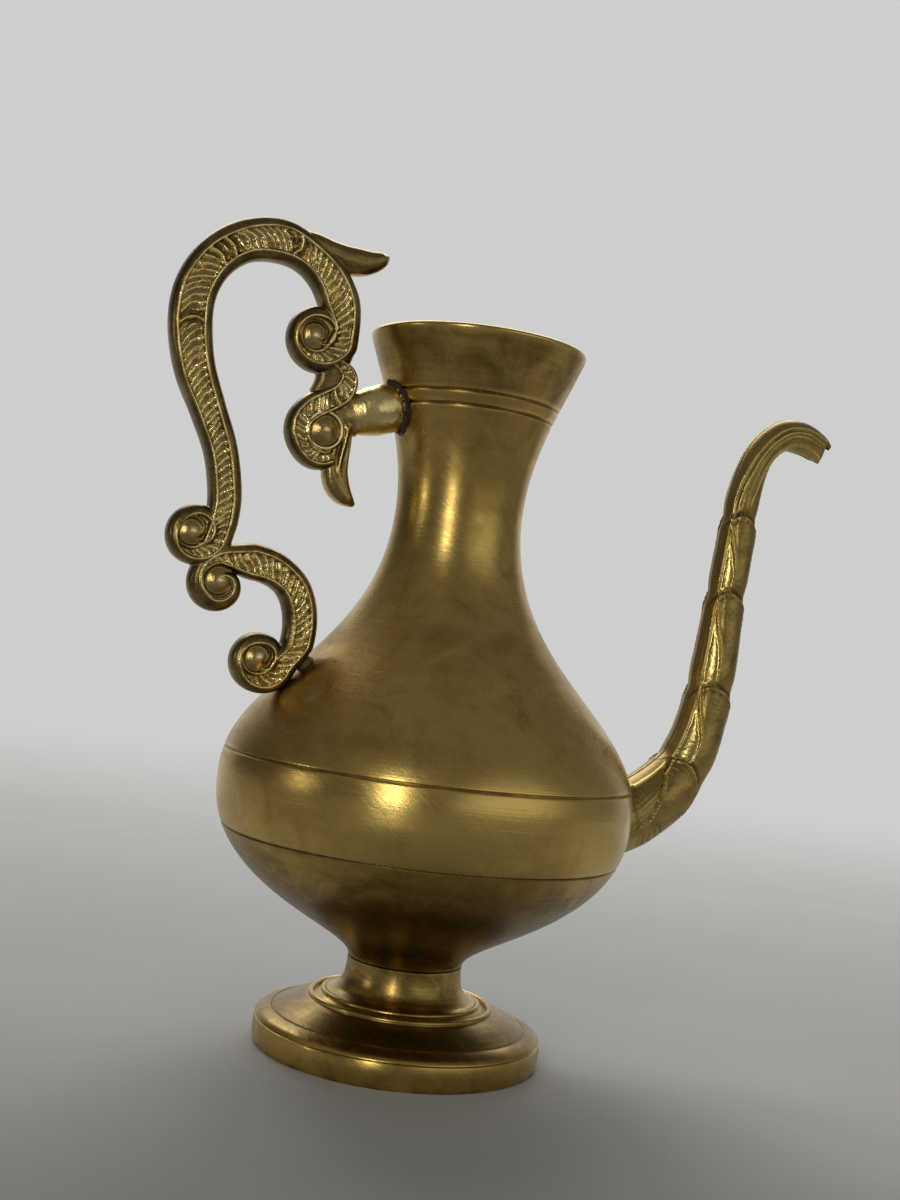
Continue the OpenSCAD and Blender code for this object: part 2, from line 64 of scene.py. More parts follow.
def bezier_run(p: Sequence[Pair], n: int) -> Array:
    """Points on a cubic Bezier curve.

    Args:
        p: The curve's four points.
        n: Number of steps.

    Returns:
        n + 1 points, one a row.
    """
    t = np.linspace(0.0, 1.0, n + 1)[:, None]
    q = np.array(p, float)
    return q[0] * (1 - t) ** 3 + q[1] * 3 * t * (1 - t) ** 2 + q[2] * 3 * t * t * (1 - t) + q[3] * t**3


def through_run(p: Sequence[Sequence[float]], steps: int) -> Array:
    """Smooth curve through points, with a fixed number of steps for each of them.

    Args:
        p: Rows of numbers, such as x, z and a half width.
        steps: Steps between two rows.

    Returns:
        The rows of the curve.
    """
    q = np.array(p, float)
    last = len(q) - 1
    t = np.arange(last * steps + 1) / steps
    i = np.minimum(np.floor(t).astype(int), last - 1)
    f = (t - i)[:, None]
    a, b, c, d = q[np.maximum(i - 1, 0)], q[i], q[i + 1], q[np.minimum(i + 2, last)]
    return b + (c - a) * f / 2 + (a * 2 - b * 5 + c * 4 - d) * f**2 / 2 + (b * 3 - a - c * 3 + d) * f**3 / 2


def unit(v: Array) -> Array:
    """Rows of v at length one."""
    return v / np.maximum(np.linalg.norm(v, axis=-1, keepdims=True), 1e-9)


def headings(p: Array) -> Array:
    """Direction of a line of points at each of them."""
    q = np.vstack([p[:1], p, p[-1:]])
    return unit(q[2:] - q[:-2])


def travelled(p: Array) -> Array:
    """Distance run along a line of points, at each of them."""
    return np.concatenate([[0.0], np.cumsum(np.linalg.norm(np.diff(p, axis=0), axis=1))])


def bell(d: Array, width: float) -> Array:
    """Rounded bump of height 1 where d is 0."""
    return np.exp(-((d / width) ** 2))


def angles(n: int) -> Array:
    """Even angles round a full turn."""
    return np.linspace(0, math.tau, n, endpoint=False)


def smooth_step(x: Array, low: Union[float, Array], high: Union[float, Array]) -> Array:
    """Smooth rise from 0 at low to 1 at high."""
    t = np.clip((x - low) / (high - low), 0.0, 1.0)
    return t * t * (3 - 2 * t)


def two_faced(flat: Array, height: Array, wear_and_painted_highlight: Array) -> Tuple[Array, Array]:
    """Rings of a flat casting that is the same on both faces.

    Args:
        flat: Places on its face, as x and z, by section.
        height: Half thickness at each place.
        wear_and_painted_highlight: How rubbed each place is.

    Returns:
        Array of section, point and x, y, z, and the rubbed values.
    """
    near = np.stack([flat[:, :, 0], -height, flat[:, :, 1]], axis=2)
    return np.concatenate([near, near[:, ::-1] * (1, -1, 1)], axis=1), np.concatenate([wear_and_painted_highlight, wear_and_painted_highlight[:, ::-1]], axis=1)


def evened(rows: Array, step: float) -> Array:
    """Rows of a line taken again at even distances along their first two numbers.

    Args:
        rows: The line's rows.
        step: Distance wanted between two rows.

    Returns:
        The new rows.
    """
    run = travelled(rows[:, :2])
    at = np.linspace(0.0, run[-1], max(int(run[-1] / step), 4))
    return np.stack([np.interp(at, run, rows[:, k]) for k in range(rows.shape[1])], axis=1)


def wobble(points: Array, size: float, seed: int) -> Array:
    """Smooth unevenness of a hand-worked surface, from about -1 to 1.

    Args:
        points: Places, one a row.
        size: Length of the longest waves.
        seed: Number that picks the pattern.

    Returns:
        One value for each place.
    """
    rng = np.random.default_rng(seed)
    total = np.zeros(len(points))
    for octave in range(3):
        for _ in range(4):
            k = rng.normal(size=3)
            k *= math.tau / (size / 2**octave) / np.linalg.norm(k)
            total += np.sin(points @ k + rng.uniform(0, math.tau)) / 2**octave
    return total / 3.4


# ---- Meshes ----


def grid_faces(rows: int, cols: int, closed: bool, start: int = 0) -> Faces:
    """Four-sided faces between rows of points.

    Args:
        rows: Number of rows.
        cols: Points in a row.
        closed: Whether each row closes on itself.
        start: Index of the first point.

    Returns:
        The faces.
    """
    i, j = np.meshgrid(np.arange(rows - 1), np.arange(cols if closed else cols - 1), indexing="ij")
    a = (start + i * cols + j).ravel()
    b = (start + i * cols + (j + 1) % cols).ravel()
    return list(zip(a.tolist(), b.tolist(), (b + cols).tolist(), (a + cols).tolist()))


@dataclass
class Shape:
    """Points and faces of a mesh that is still being made."""

    points: List[Array] = field(default_factory=list)
    faces: Faces = field(default_factory=list)
    wear_and_painted_highlight: List[Array] = field(default_factory=list)

    @property
    def count(self) -> int:
        """Number of points so far."""
        return sum(len(p) for p in self.points)

    def add_rings(
        self, rings: Array, closed: bool = True, capped: bool = True, wear_and_painted_highlight: Optional[Array] = None
    ) -> None:
        """Adds a surface through rings of points.

        Args:
            rings: Array of ring, point and x, y, z.
            closed: Whether a ring closes on itself.
            capped: Whether both ends get a lid.
            wear_and_painted_highlight: How rubbed each point is, from 0 to 1, with painted highlights in places.
        """
        start = self.count
        rows, cols = rings.shape[:2]
        self.points.append(rings.reshape(-1, 3))
        self.faces += grid_faces(rows, cols, closed, start)
        self.wear_and_painted_highlight.append(np.full(rows * cols, PLAIN) if wear_and_painted_highlight is None else wear_and_painted_highlight.reshape(-1))
        if capped:
            for row, turn in ((0, -1), (rows - 1, 1)):
                centre = self.count
                self.points.append(rings[row].mean(axis=0)[None, :])
                self.wear_and_painted_highlight.append(np.array([PLAIN]))
                for j in range(cols if closed else cols - 1):
                    a, b = start + row * cols + j, start + row * cols + (j + 1) % cols
                    self.faces.append((a, b, centre)[::turn])

    def mesh(self, name: str, scale: float = MM) -> bpy.types.Mesh:
        """Makes the Blender mesh.

        Args:
            name: Name of the mesh.
            scale: Length of one millimetre in the mesh.

        Returns:
            The mesh, with its rubbed places and painted highlights as a point value.
        """
        data = bpy.data.meshes.new(name)
        data.from_pydata((np.vstack(self.points) * scale).tolist(), [], self.faces)
        value = data.attributes.new("wear_and_painted_highlight", "FLOAT", "POINT")
        value.data.foreach_set("value", np.concatenate(self.wear_and_painted_highlight).astype(np.float32))
        data.update()
        return data


def show(mesh: bpy.types.Mesh, name: str, crease: float = 38.0) -> Piece:
    """Puts a mesh in the scene, shaded smooth with crisp creases.

    Args:
        mesh: The mesh.
        name: Name of the piece.
        crease: Angle in degrees above which an edge stays crisp.

    Returns:
        The new object.
    """
    mesh.polygons.foreach_set("use_smooth", [True] * len(mesh.polygons))
    mesh.set_sharp_from_angle(angle=math.radians(crease))
    piece = bpy.data.objects.new(name, mesh)
    bpy.context.scene.collection.objects.link(piece)
    return piece


def flow(mesh_owner: Piece, kind: str, name: str, **settings: Any) -> None:
    """Puts a modifier on a piece and works it into the mesh.

    Args:
        mesh_owner: The piece.
        kind: Type of the modifier.
        name: Name of the modifier.
        settings: The modifier's settings.
    """
    tool = mesh_owner.modifiers.new(name, kind)
    for key, value in settings.items():
        setattr(tool, key, value)
    graph = bpy.context.evaluated_depsgraph_get()
    made = bpy.data.meshes.new_from_object(mesh_owner.evaluated_get(graph))
    mesh_owner.modifiers.clear()
    old = mesh_owner.data
    mesh_owner.data = made
    bpy.data.meshes.remove(old)


# ---- Materials ----


class Fed:
    """A socket's number in a node tree; Python's operators add Math nodes to it."""

    def __init__(self, net: "Net", socket: bpy.types.NodeSocket) -> None:
        """Wraps a socket of a node tree."""
        self.net = net
        self.socket = socket

    def _sum(self, operation: str, *values: Any) -> "Fed":
        """Adds one Math node."""
        return self.net.node("ShaderNodeMath", {"operation": operation}, *values)

    def __add__(self, other: Any) -> "Fed":
        """Adds."""
        return self._sum("ADD", self, other)

    __radd__ = __add__

    def __mul__(self, other: Any) -> "Fed":
        """Multiplies."""
        return self._sum("MULTIPLY", self, other)

    __rmul__ = __mul__

    def __sub__(self, other: Any) -> "Fed":
        """Takes away."""
        return self._sum("SUBTRACT", self, other)

    def __rsub__(self, other: Any) -> "Fed":
        """Is taken away."""
        return self._sum("SUBTRACT", other, self)

    def __truediv__(self, other: Any) -> "Fed":
        """Divides."""
        return self._sum("DIVIDE", self, other)

    def __pow__(self, other: Any) -> "Fed":
        """Raises to a power."""
        return self._sum("POWER", self, other)

    def __abs__(self) -> "Fed":
        """Leaves out the sign."""
        return self._sum("ABSOLUTE", self)

    def ramp(self, low: float, high: float, smooth: bool = True) -> "Fed":
        """Rises from 0 at low to 1 at high.

        Args:
            low: Value that gives 0.
            high: Value that gives 1.
            smooth: Whether the rise is rounded.

        Returns:
            The new value.
        """
        kind = "SMOOTHSTEP" if smooth else "LINEAR"
        return self.net.node("ShaderNodeMapRange", {"interpolation_type": kind}, self, low, high, 0.0, 1.0)


class Net:
    """A node tree that is being put together."""

    def __init__(self, tree: bpy.types.NodeTree) -> None:
        """Starts with an empty tree."""
        self.tree = tree
        tree.nodes.clear()

    def plug(self, socket: bpy.types.NodeSocket, value: Any) -> None:
        """Sets a socket to a number or colour, or links it."""
        if isinstance(value, Fed):
            self.tree.links.new(value.socket, socket)
        elif isinstance(value, tuple) and socket.type == "RGBA" and len(value) == 3:
            socket.default_value = (*value, 1.0)
        else:
            socket.default_value = value

    def node(
        self, kind: str, settings: Dict[str, Any], *values: Any, out: Union[int, str] = 0, **named: Any
    ) -> Fed:
        """Adds a node.

        Args:
            kind: Type of the node.
            settings: Its settings, set before its sockets.
            values: Numbers, colours or values for its sockets, in order.
            out: Output that is handed back.
            named: The same by the socket's name, with _ for a space.

        Returns:
            The chosen output.
        """
        made = self.tree.nodes.new(kind)
        for key, value in settings.items():
            setattr(made, key, value)
        for socket, value in zip(made.inputs, values):
            self.plug(socket, value)
        for key, value in named.items():
            self.plug(made.inputs[key.replace("_", " ")], value)
        return Fed(self, made.outputs[out])

    def parts(self, vector: Fed) -> Tuple[Fed, Fed, Fed]:
        """Splits a vector into its three numbers."""
        x = self.node("ShaderNodeSeparateXYZ", {}, vector)
        split = x.socket.node
        return x, Fed(self, split.outputs[1]), Fed(self, split.outputs[2])

    def vector(self, x: Any, y: Any, z: Any) -> Fed:
        """Joins three numbers into a vector."""
        return self.node("ShaderNodeCombineXYZ", {}, x, y, z)

    def noise(self, at: Fed, scale: float, detail: float = 3.0, rough: float = 0.55, twist: float = 0.0) -> Fed:
        """Cloudy values around a half.

        Args:
            at: Place on the surface.
            scale: Clouds in a metre.
            detail: Number of finer layers.
            rough: Strength of the finer layers.
            twist: How much the clouds are pulled about.

        Returns:
            The value.
        """
        return self.node(
            "ShaderNodeTexNoise", {}, Vector=at, Scale=scale, Detail=detail, Roughness=rough, Distortion=twist
        )

    def mixed(self, share: Any, a: Any, b: Any, blend: str = "MIX") -> Fed:
        """Mixes two colours.

        Args:
            share: Share of the second colour.
            a: First colour.
            b: Second colour.
            blend: How they are put together.

        Returns:
            The mixed colour.
        """
        made = self.tree.nodes.new("ShaderNodeMix")
        made.data_type, made.blend_type = "RGBA", blend
        for index, value in ((0, share), (6, a), (7, b)):
            self.plug(made.inputs[index], value)
        return Fed(self, made.outputs[2])


class Recipe(Net):
    """A material that is being put together from nodes."""

    def __init__(self, name: str) -> None:
        """Starts a material with one plain surface shader."""
        self.material = bpy.data.materials.new(name)
        self.material.use_nodes = True
        super().__init__(self.material.node_tree)
        self.surface = self.tree.nodes.new("ShaderNodeBsdfPrincipled")
        self.out = self.tree.nodes.new("ShaderNodeOutputMaterial")
        self.tree.links.new(self.surface.outputs[0], self.out.inputs[0])

    def bump(self, height: Fed, depth: float, strength: float = 1.0) -> None:
        """Feeds the surface's normal from a height.

        Args:
            height: Height from 0 to 1.
            depth: Real height of 1, in metres.
            strength: Share of the bump that is used.
        """
        normal = self.node("ShaderNodeBump", {}, Height=height, Distance=depth, Strength=strength, out="Normal")
        self.plug(self.surface.inputs["Normal"], normal)

    def set(self, **named: Any) -> None:
        """Sets or feeds the surface shader's sockets."""
        for key, value in named.items():
            self.plug(self.surface.inputs[key.replace("_", " ")], value)


class Worked(Enum):
    """How a brass face was finished."""

    TURNED = "turned"
    CAST = "cast"
    CHASED = "chased"
    FILED = "filed"


@dataclass(frozen=True)
class AgedBrass:
    """Unlacquered brass, browned with age and bright where it is rubbed.

    Attributes:
        name: Name of the material.
        worked: How the face was finished.
        bright: Colour of the rubbed metal.
        dull: Colour under the brown film.
        film: Colour of the thick film in hollows.
        blush: Colour of the coppery patches on turned faces.
        lean: How far the lathe's rings lean, as height for each unit of radius.
        smooth: Roughness of the rubbed metal.
        thick: Half thickness of a flat casting, in metres, which places its hollows.
        rubbed: How rubbed it is all over, for a mesh that doesn't carry its rubbed places.
    """

    name: str
    worked: Worked
    bright: Colour = (0.66, 0.50, 0.165)
    dull: Colour = (0.40, 0.28, 0.085)
    film: Colour = (0.11, 0.07, 0.024)
    blush: Colour = (0.46, 0.27, 0.105)
    lean: float = 0.5
    smooth: float = 0.25
    thick: float = 0.0035
    rubbed: Optional[float] = None

    def wear_and_painted_highlight(self, r: Recipe) -> Fed:
        """How rubbed the face is, from 0 to 1, with painted highlights in places."""
        if self.rubbed is not None:
            return r.node("ShaderNodeMath", {"operation": "ADD"}, self.rubbed, 0.0)
        return r.node("ShaderNodeAttribute", {"attribute_name": "wear_and_painted_highlight"}, out="Fac")

    def make(self) -> Material:
        """Builds the material.

        Returns:
            The finished material.
        """
        r = Recipe(self.name)
        at = r.node("ShaderNodeTexCoord", {}, out="Object")
        x, y, z = r.parts(at)
        clouds = r.noise(at, 34.0, 4.0, 0.6, 0.4)
        stains = r.noise(at, 95.0, 5.0, 0.65, 1.2)
        if self.worked is Worked.TURNED:
            self._turned(r, at, x, y, z, clouds, stains)
        elif self.worked is Worked.FILED:
            self._filed(r, at, clouds, stains)
        else:
            self._cast(r, at, y, clouds, stains)
        return r.material

    def _turned(self, r: Recipe, at: Fed, x: Fed, y: Fed, z: Fed, clouds: Fed, stains: Fed) -> None:
        """Lathe rings, brush marks, soft stains and fine scratches."""
        radius = (x * x + y * y) ** 0.5
        along = z + radius * self.lean
        rings = r.noise(r.vector(x * 26.0, y * 26.0, along * 1500.0), 1.0, 3.0, 0.7)
        fine = r.noise(r.vector(x * 60.0, y * 60.0, along * 5200.0), 1.0, 2.0, 0.6)
        rub = r.noise(r.vector((x + z) * 420.0, y * 120.0, (z - x) * 60.0), 1.0, 3.0, 0.6)
        bands = r.noise(r.vector(x * 7.0, y * 7.0, along * 150.0), 1.0, 2.0, 0.5)
        swirl = r.noise(r.vector((x + z) * 1100.0, y * 400.0, (z - x) * 45.0), 1.0, 2.0, 0.6)
        wear_and_painted_highlight = self.wear_and_painted_highlight(r)
        old = (clouds * 0.7 + stains * 0.45 + bands * 0.25 + (0.5 - wear_and_painted_highlight) * 0.5).ramp(0.52, 0.9)
        colour = r.mixed(old, self.bright, self.dull)
        colour = r.mixed(r.noise(at, 21.0, 3.0, 0.5, 0.6).ramp(0.52, 0.7) * 0.45, colour, self.blush)
        grimy = (stains * 0.8 + rings * 0.35 + (0.5 - wear_and_painted_highlight) * 0.9).ramp(0.62, 0.95) * 0.6
        colour = r.mixed(grimy, colour, self.film)
        colour = r.mixed(rub.ramp(0.58, 0.74) * 0.22 + swirl.ramp(0.56, 0.72) * 0.2, colour, self.bright)
        rough = self.smooth + rings * 0.1 + old * 0.1 + rub * 0.07 + swirl * 0.1 - 0.14
        r.set(Base_Color=colour, Metallic=1.0, Roughness=rough)
        r.bump(rings * 0.5 + fine * 0.35 + rub * 0.4 + swirl * 0.4 + clouds * 0.6, 0.00007, 0.6)

    def _filed(self, r: Recipe, at: Fed, clouds: Fed, stains: Fed) -> None:
        """Hand-filed and rubbed faces."""
        pits = r.noise(at, 900.0, 3.0, 0.6)
        wear_and_painted_highlight = self.wear_and_painted_highlight(r)
        old = (clouds * 0.6 + stains * 0.5 + pits * 0.2 + (0.5 - wear_and_painted_highlight) * 0.6).ramp(0.55, 0.95)
        colour = r.mixed(old, self.bright, self.dull)
        colour = r.mixed(pits.ramp(0.62, 0.78) * 0.5, colour, self.film)
        r.set(Base_Color=colour, Metallic=1.0, Roughness=self.smooth + pits * 0.2 - 0.05)
        r.bump(pits * 0.7 + stains * 0.6, 0.00018, 0.6)

    def _cast(self, r: Recipe, at: Fed, y: Fed, clouds: Fed, stains: Fed) -> None:
        """Sand-cast skin: brown in the hollows, rubbed bright on the ridges, with painted highlights on the handle's
        ribs.
        """
        grain = r.noise(at, 1500.0, 3.0, 0.6)
        if self.worked is Worked.CAST:
            mottle, high = 0.35, abs(y).ramp(self.thick - 0.0011, self.thick - 0.0002)
        else:
            mottle, high = 0.22, self.wear_and_painted_highlight(r)
        rubbed = (high * 0.95 + (stains - 0.5) * mottle + (grain - 0.5) * 0.25).ramp(0.0, 0.8, False)
        colour = r.mixed(rubbed.ramp(0.0, 0.5), self.film, self.dull)
        colour = r.mixed((rubbed * 0.9 + (clouds - 0.5) * 0.3).ramp(0.45, 0.95), colour, self.bright)
        r.set(Base_Color=colour, Metallic=1.0, Roughness=self.smooth + 0.17 - rubbed * 0.21 + grain * 0.08)
        r.bump(grain * 0.5 + stains * 0.8, 0.00018, 0.65)


@dataclass(frozen=True)
class HardSolder:
    """Solder run by torch, fire-stained and pitted.

    Attributes:
        name: Name of the material.
        light: Colour of the clean solder.
        dark: Colour of the fire stain.
        stained: How much of it is stained, from 0 to 1.
    """

    name: str
    light: Colour = (0.36, 0.27, 0.14)
    dark: Colour = (0.035, 0.026, 0.024)
    stained: float = 0.5

    def make(self) -> Material:
        """Builds the material.

        Returns:
            The finished material.
        """
        r = Recipe(self.name)
        at = r.node("ShaderNodeTexCoord", {}, out="Object")
        lumps = r.noise(at, 700.0, 4.0, 0.65, 0.8)
        specks = r.noise(at, 2600.0, 2.0, 0.6)
        burnt = (lumps * 0.8 + specks * 0.3).ramp(0.75 - self.stained * 0.5, 0.95 - self.stained * 0.4)
        colour = r.mixed(burnt, self.dark, self.light)
        r.set(Base_Color=colour, Metallic=0.15 + burnt * 0.8, Roughness=0.68 - burnt * 0.28)
        r.bump(lumps * 0.8 + specks * 0.6, 0.0004, 0.9)
        return r.material


def dress(piece: Piece, finish: Material) -> None:
    """Gives every face of a piece one finish."""
    piece.data.materials.clear()
    piece.data.materials.append(finish)


def redress(node: Piece, finish: Material) -> None:
    """Puts a finish in all material slots of a carried-over solid."""
    for place in node.material_slots:
        place.link = "OBJECT"
        place.material = finish


def seat(piece: Piece, finish: Material, node: str) -> None:
    """Finishes a piece, rides it on the pot and hides the solid that it stands for.

    Args:
        piece: The piece.
        finish: Its finish.
        node: The solid that it stands for.
    """
    dress(piece, finish)
    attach(piece, "root")
    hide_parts(node)
    LOG.info("%s: %d faces", piece.name, len(piece.data.polygons))


# ---- The turned body and foot ----

# How deep and how high the seam's chamfered edge runs, in three steps
SEAM_EDGE = ((0.3, 0.0), (0.12, 0.16), (0.02, 0.34))
# Place across a turned line, in half widths, and depth there as a share
LINE_CUT = (
    (-1.0, 0.0), (-0.8, 0.1), (-0.5, 0.55), (-0.2, 0.93), (0.0, 1.0), (0.2, 0.93), (0.5, 0.55), (0.8, 0.1), (1.0, 0.0),
)
# Heights, and how rubbed each turned piece is there
UPPER_RUBBED = (
    (52.0, 0.55), (56.0, 0.62), (64.0, 0.66), (69.5, 0.6), (69.95, 0.9), (70.3, 0.2), (70.7, 0.2), (71.05, 0.9),
    (71.6, 0.55), (80.0, 0.5), (157.4, 0.5), (157.85, 1.0), (158.2, 0.15), (158.6, 0.15), (158.95, 1.0), (159.4, 0.5),
    (160.6, 0.5), (161.05, 1.0), (161.4, 0.15), (161.8, 0.15), (162.15, 1.0), (162.6, 0.4), (168.0, 0.3),
    (174.5, 0.35), (176.0, 0.95),
)
LOWER_RUBBED = ((22.0, 0.28), (28.0, 0.1), (36.0, 0.08), (44.0, 0.25), (50.0, 0.45), (52.0, 0.45))
FOOT_RUBBED = (
    (0.3, 0.35), (1.5, 0.45), (5.5, 0.5), (6.3, 0.75), (7.0, 0.4), (8.6, 0.2), (11.0, 0.2), (12.3, 0.35), (13.0, 0.6),
    (14.2, 0.35), (17.0, 0.28), (21.0, 0.28),
)


@dataclass
class Turning:
    """A turned piece, made by running a profile round the pot's axis.

    Attributes:
        around: Points in one turn.
        hand: Depth of the hand-raised unevenness.
        wave: Length of its longest waves.
        sets_in: Heights between which it sets in.
    """

    around: int = 256
    hand: float = 0.09
    wave: float = 70.0
    sets_in: Pair = (24.0, 34.0)

    def turn(
        self, profile: Array, name: str, crease: float = 32.0, looped: bool = True,
        rubbed: Sequence[Pair] = ((0.0, PLAIN), (1.0, PLAIN)),
    ) -> Piece:
        """Runs a profile round the axis.

        Args:
            profile: Points as radius and height, going up the outside first.
            name: Name of the piece.
            crease: Angle above which an edge stays crisp.
            looped: Whether the profile closes on itself.
            rubbed: Heights, and how rubbed the piece is there.

        Returns:
            The piece.
        """
        if looped:
            profile = np.vstack([profile, profile[:1]])
        a = angles(self.around)
        rings = np.zeros((len(profile), self.around, 3))
        rings[:, :, 0] = profile[:, :1] * np.cos(a)
        rings[:, :, 1] = profile[:, :1] * np.sin(a)
        rings[:, :, 2] = profile[:, 1:]
        flat = rings.reshape(-1, 3)
        push = self.hand * wobble(flat * (1.0, 1.0, 1.6), self.wave, 5) * smooth_step(flat[:, 2], *self.sets_in)
        away = np.hypot(flat[:, 0], flat[:, 1])[:, None]
        flat[:, :2] -= flat[:, :2] / np.maximum(away, 1e-6) * (np.abs(push) * 0.6 + 0.01)[:, None]
        knots = np.array(rubbed, float)
        wear_and_painted_highlight = np.repeat(np.interp(profile[:, 1], knots[:, 0], knots[:, 1])[:, None], self.around, axis=1)
        shape = Shape()
        shape.add_rings(rings, closed=True, capped=False, wear_and_painted_highlight=wear_and_painted_highlight)
        piece = show(shape.mesh(name), name, crease)
        flow(piece, "WELD", "join", merge_threshold=0.000002)
        return piece


def cut_line(at: float, curve: Callable[[float], float], width: float, depth: float) -> List[Pair]:
    """Points of a rounded turned line.

    Args:
        at: Height of its middle.
        curve: Radius of the face at a height.
        width: Half width of the line.
        depth: Its depth.

    Returns:
        Points as radius and height.
    """
    return [(curve(at + s * width) - depth * d, at + s * width) for s, d in LINE_CUT]


@dataclass
class PotBody:
    """Belly, shoulder, neck and mouth, raised in two shells.

    Attributes:
        mouth_r: Radius of the mouth.
        mouth_z: Height of the mouth.
        neck_r: Radius of the neck.
        neck_z: Height of the neck's narrowest part.
        belly_r: Radius of the belly.
        belly_z: Height where the belly is widest.
        belly_land: Straight height there.
        wall: Thickness of the sheet.
        seam_z: Height of the seam between the shells.
        lines: Heights of the turned lines.
        stem_r: Radius at the foot's joint.
        stem_z: Height of the foot's joint.
        line_half: Half width of a turned line.
        line_deep: Depth of a turned line.
        lap: Height of the lap in the seam.
        floor: Thickness of the floor round the foot's tenon.
        hole_r: Radius of the hole for that tenon.
    """

    mouth_r: float = 27.0
    mouth_z: float = 176.2
    neck_r: float = 15.9
    neck_z: float = 134.6
    belly_r: float = 51.5
    belly_z: float = 62.2
    belly_land: float = 2.2
    wall: float = 1.6
    seam_z: float = 52.0
    lines: Tuple[float, ...] = (70.5, 158.4, 161.6)
    stem_r: float = 14.2
    stem_z: float = 22.2
    line_half: float = 0.48
    line_deep: float = 0.36
    lap: float = 3.0
    floor: float = 2.4
    hole_r: float = 5.1

    def __post_init__(self) -> None:
        """Works out the outline once."""
        lip_z = self.mouth_z - self.wall / 2
        top = self.belly_z + self.belly_land
        under = [
            (self.stem_r, self.stem_z), (self.stem_r, self.stem_z + 7.6),
            (self.belly_r, self.belly_z - 25.7), (self.belly_r, self.belly_z),
        ]
        shoulder = [
            (self.belly_r, top), (self.belly_r, top + 24),
            (self.neck_r, self.neck_z - 38.4), (self.neck_r, self.neck_z),
        ]
        flare = [
            (self.neck_r, self.neck_z), (self.neck_r, self.neck_z + 16),
            (self.mouth_r - 0.34 * 12, lip_z - 12), (self.mouth_r, lip_z),
        ]
        self.outline = np.vstack([bezier_run(under, 60), bezier_run(shoulder, 90), bezier_run(flare, 50)[1:]])
        turn = headings(self.outline)
        self.lining = self.outline + self.wall * np.stack([-turn[:, 1], turn[:, 0]], axis=1)

    def radius(self, z: float) -> float:
        """Outside radius at a height."""
        return float(np.interp(z, self.outline[:, 1], self.outline[:, 0]))

    def outside(self, low: float, high: float) -> Array:
        """Outside of the body between two heights, with its turned lines."""
        clear = self.line_half * 1.3
        keep = [
            (float(r), float(z)) for r, z in self.outline
            if low < z < high and all(abs(z - line) > clear for line in self.lines)
        ]
        for z in self.lines:
            if low < z < high:
                keep += cut_line(z, self.radius, self.line_half, self.line_deep)
        return np.array(sorted(keep, key=lambda q: q[1]))

    def build(self, turning: Turning) -> List[Piece]:
        """Makes the upper body, the lower bowl and the braze in their seam.

        Args:
            turning: How the shells are turned.

        Returns:
            The three pieces.
        """
        z, r = self.seam_z, self.radius(self.seam_z)
        up = unit(self.outline[-1] - self.outline[-2])
        out = np.array([up[1], -up[0]])
        middle = self.outline[-1] - out * self.wall / 2
        rolled = np.radians(range(15, 170, 15))
        lip = np.array([middle + (out * math.cos(a) + up * math.sin(a)) * self.wall / 2 for a in rolled])
        inner = self.lining[self.lining[:, 1] > z][::-3]
        upper = np.vstack([
            [(r - d, z + h) for d, h in SEAM_EDGE], self.outside(z + 0.45, self.mouth_z), lip, inner,
            [(r - self.wall, z)],
        ])
        floor_z = self.stem_z + self.floor
        in_bowl = (self.lining[:, 1] > floor_z) & (self.lining[:, 1] < z + self.lap)
        low_in = self.lining[in_bowl][::-3] - (0.05, 0)
        lap = low_in[low_in[:, 1] > z][::-1]
        lower = np.vstack([
            [(self.hole_r, self.stem_z)], self.outside(self.stem_z, z - 0.45),
            [(r - d, z - h) for d, h in SEAM_EDGE[::-1]], [(r - self.wall - 0.05, z)],
            lap, lap[::-1] - (1.0, 0.0), low_in[low_in[:, 1] < z - 2], [(self.hole_r, floor_z)],
        ])
        bulge = ((0.34, -0.2), (0.22, -0.12), (0.17, 0.0), (0.22, 0.12), (0.34, 0.2))
        return [
            turning.turn(upper, "upper_body_shell", rubbed=UPPER_RUBBED),
            turning.turn(lower, "lower_bowl_shell", rubbed=LOWER_RUBBED),
            turning.turn(np.array([(r - d, z + h) for d, h in bulge]), "seam_braze_line", 80.0),
        ]


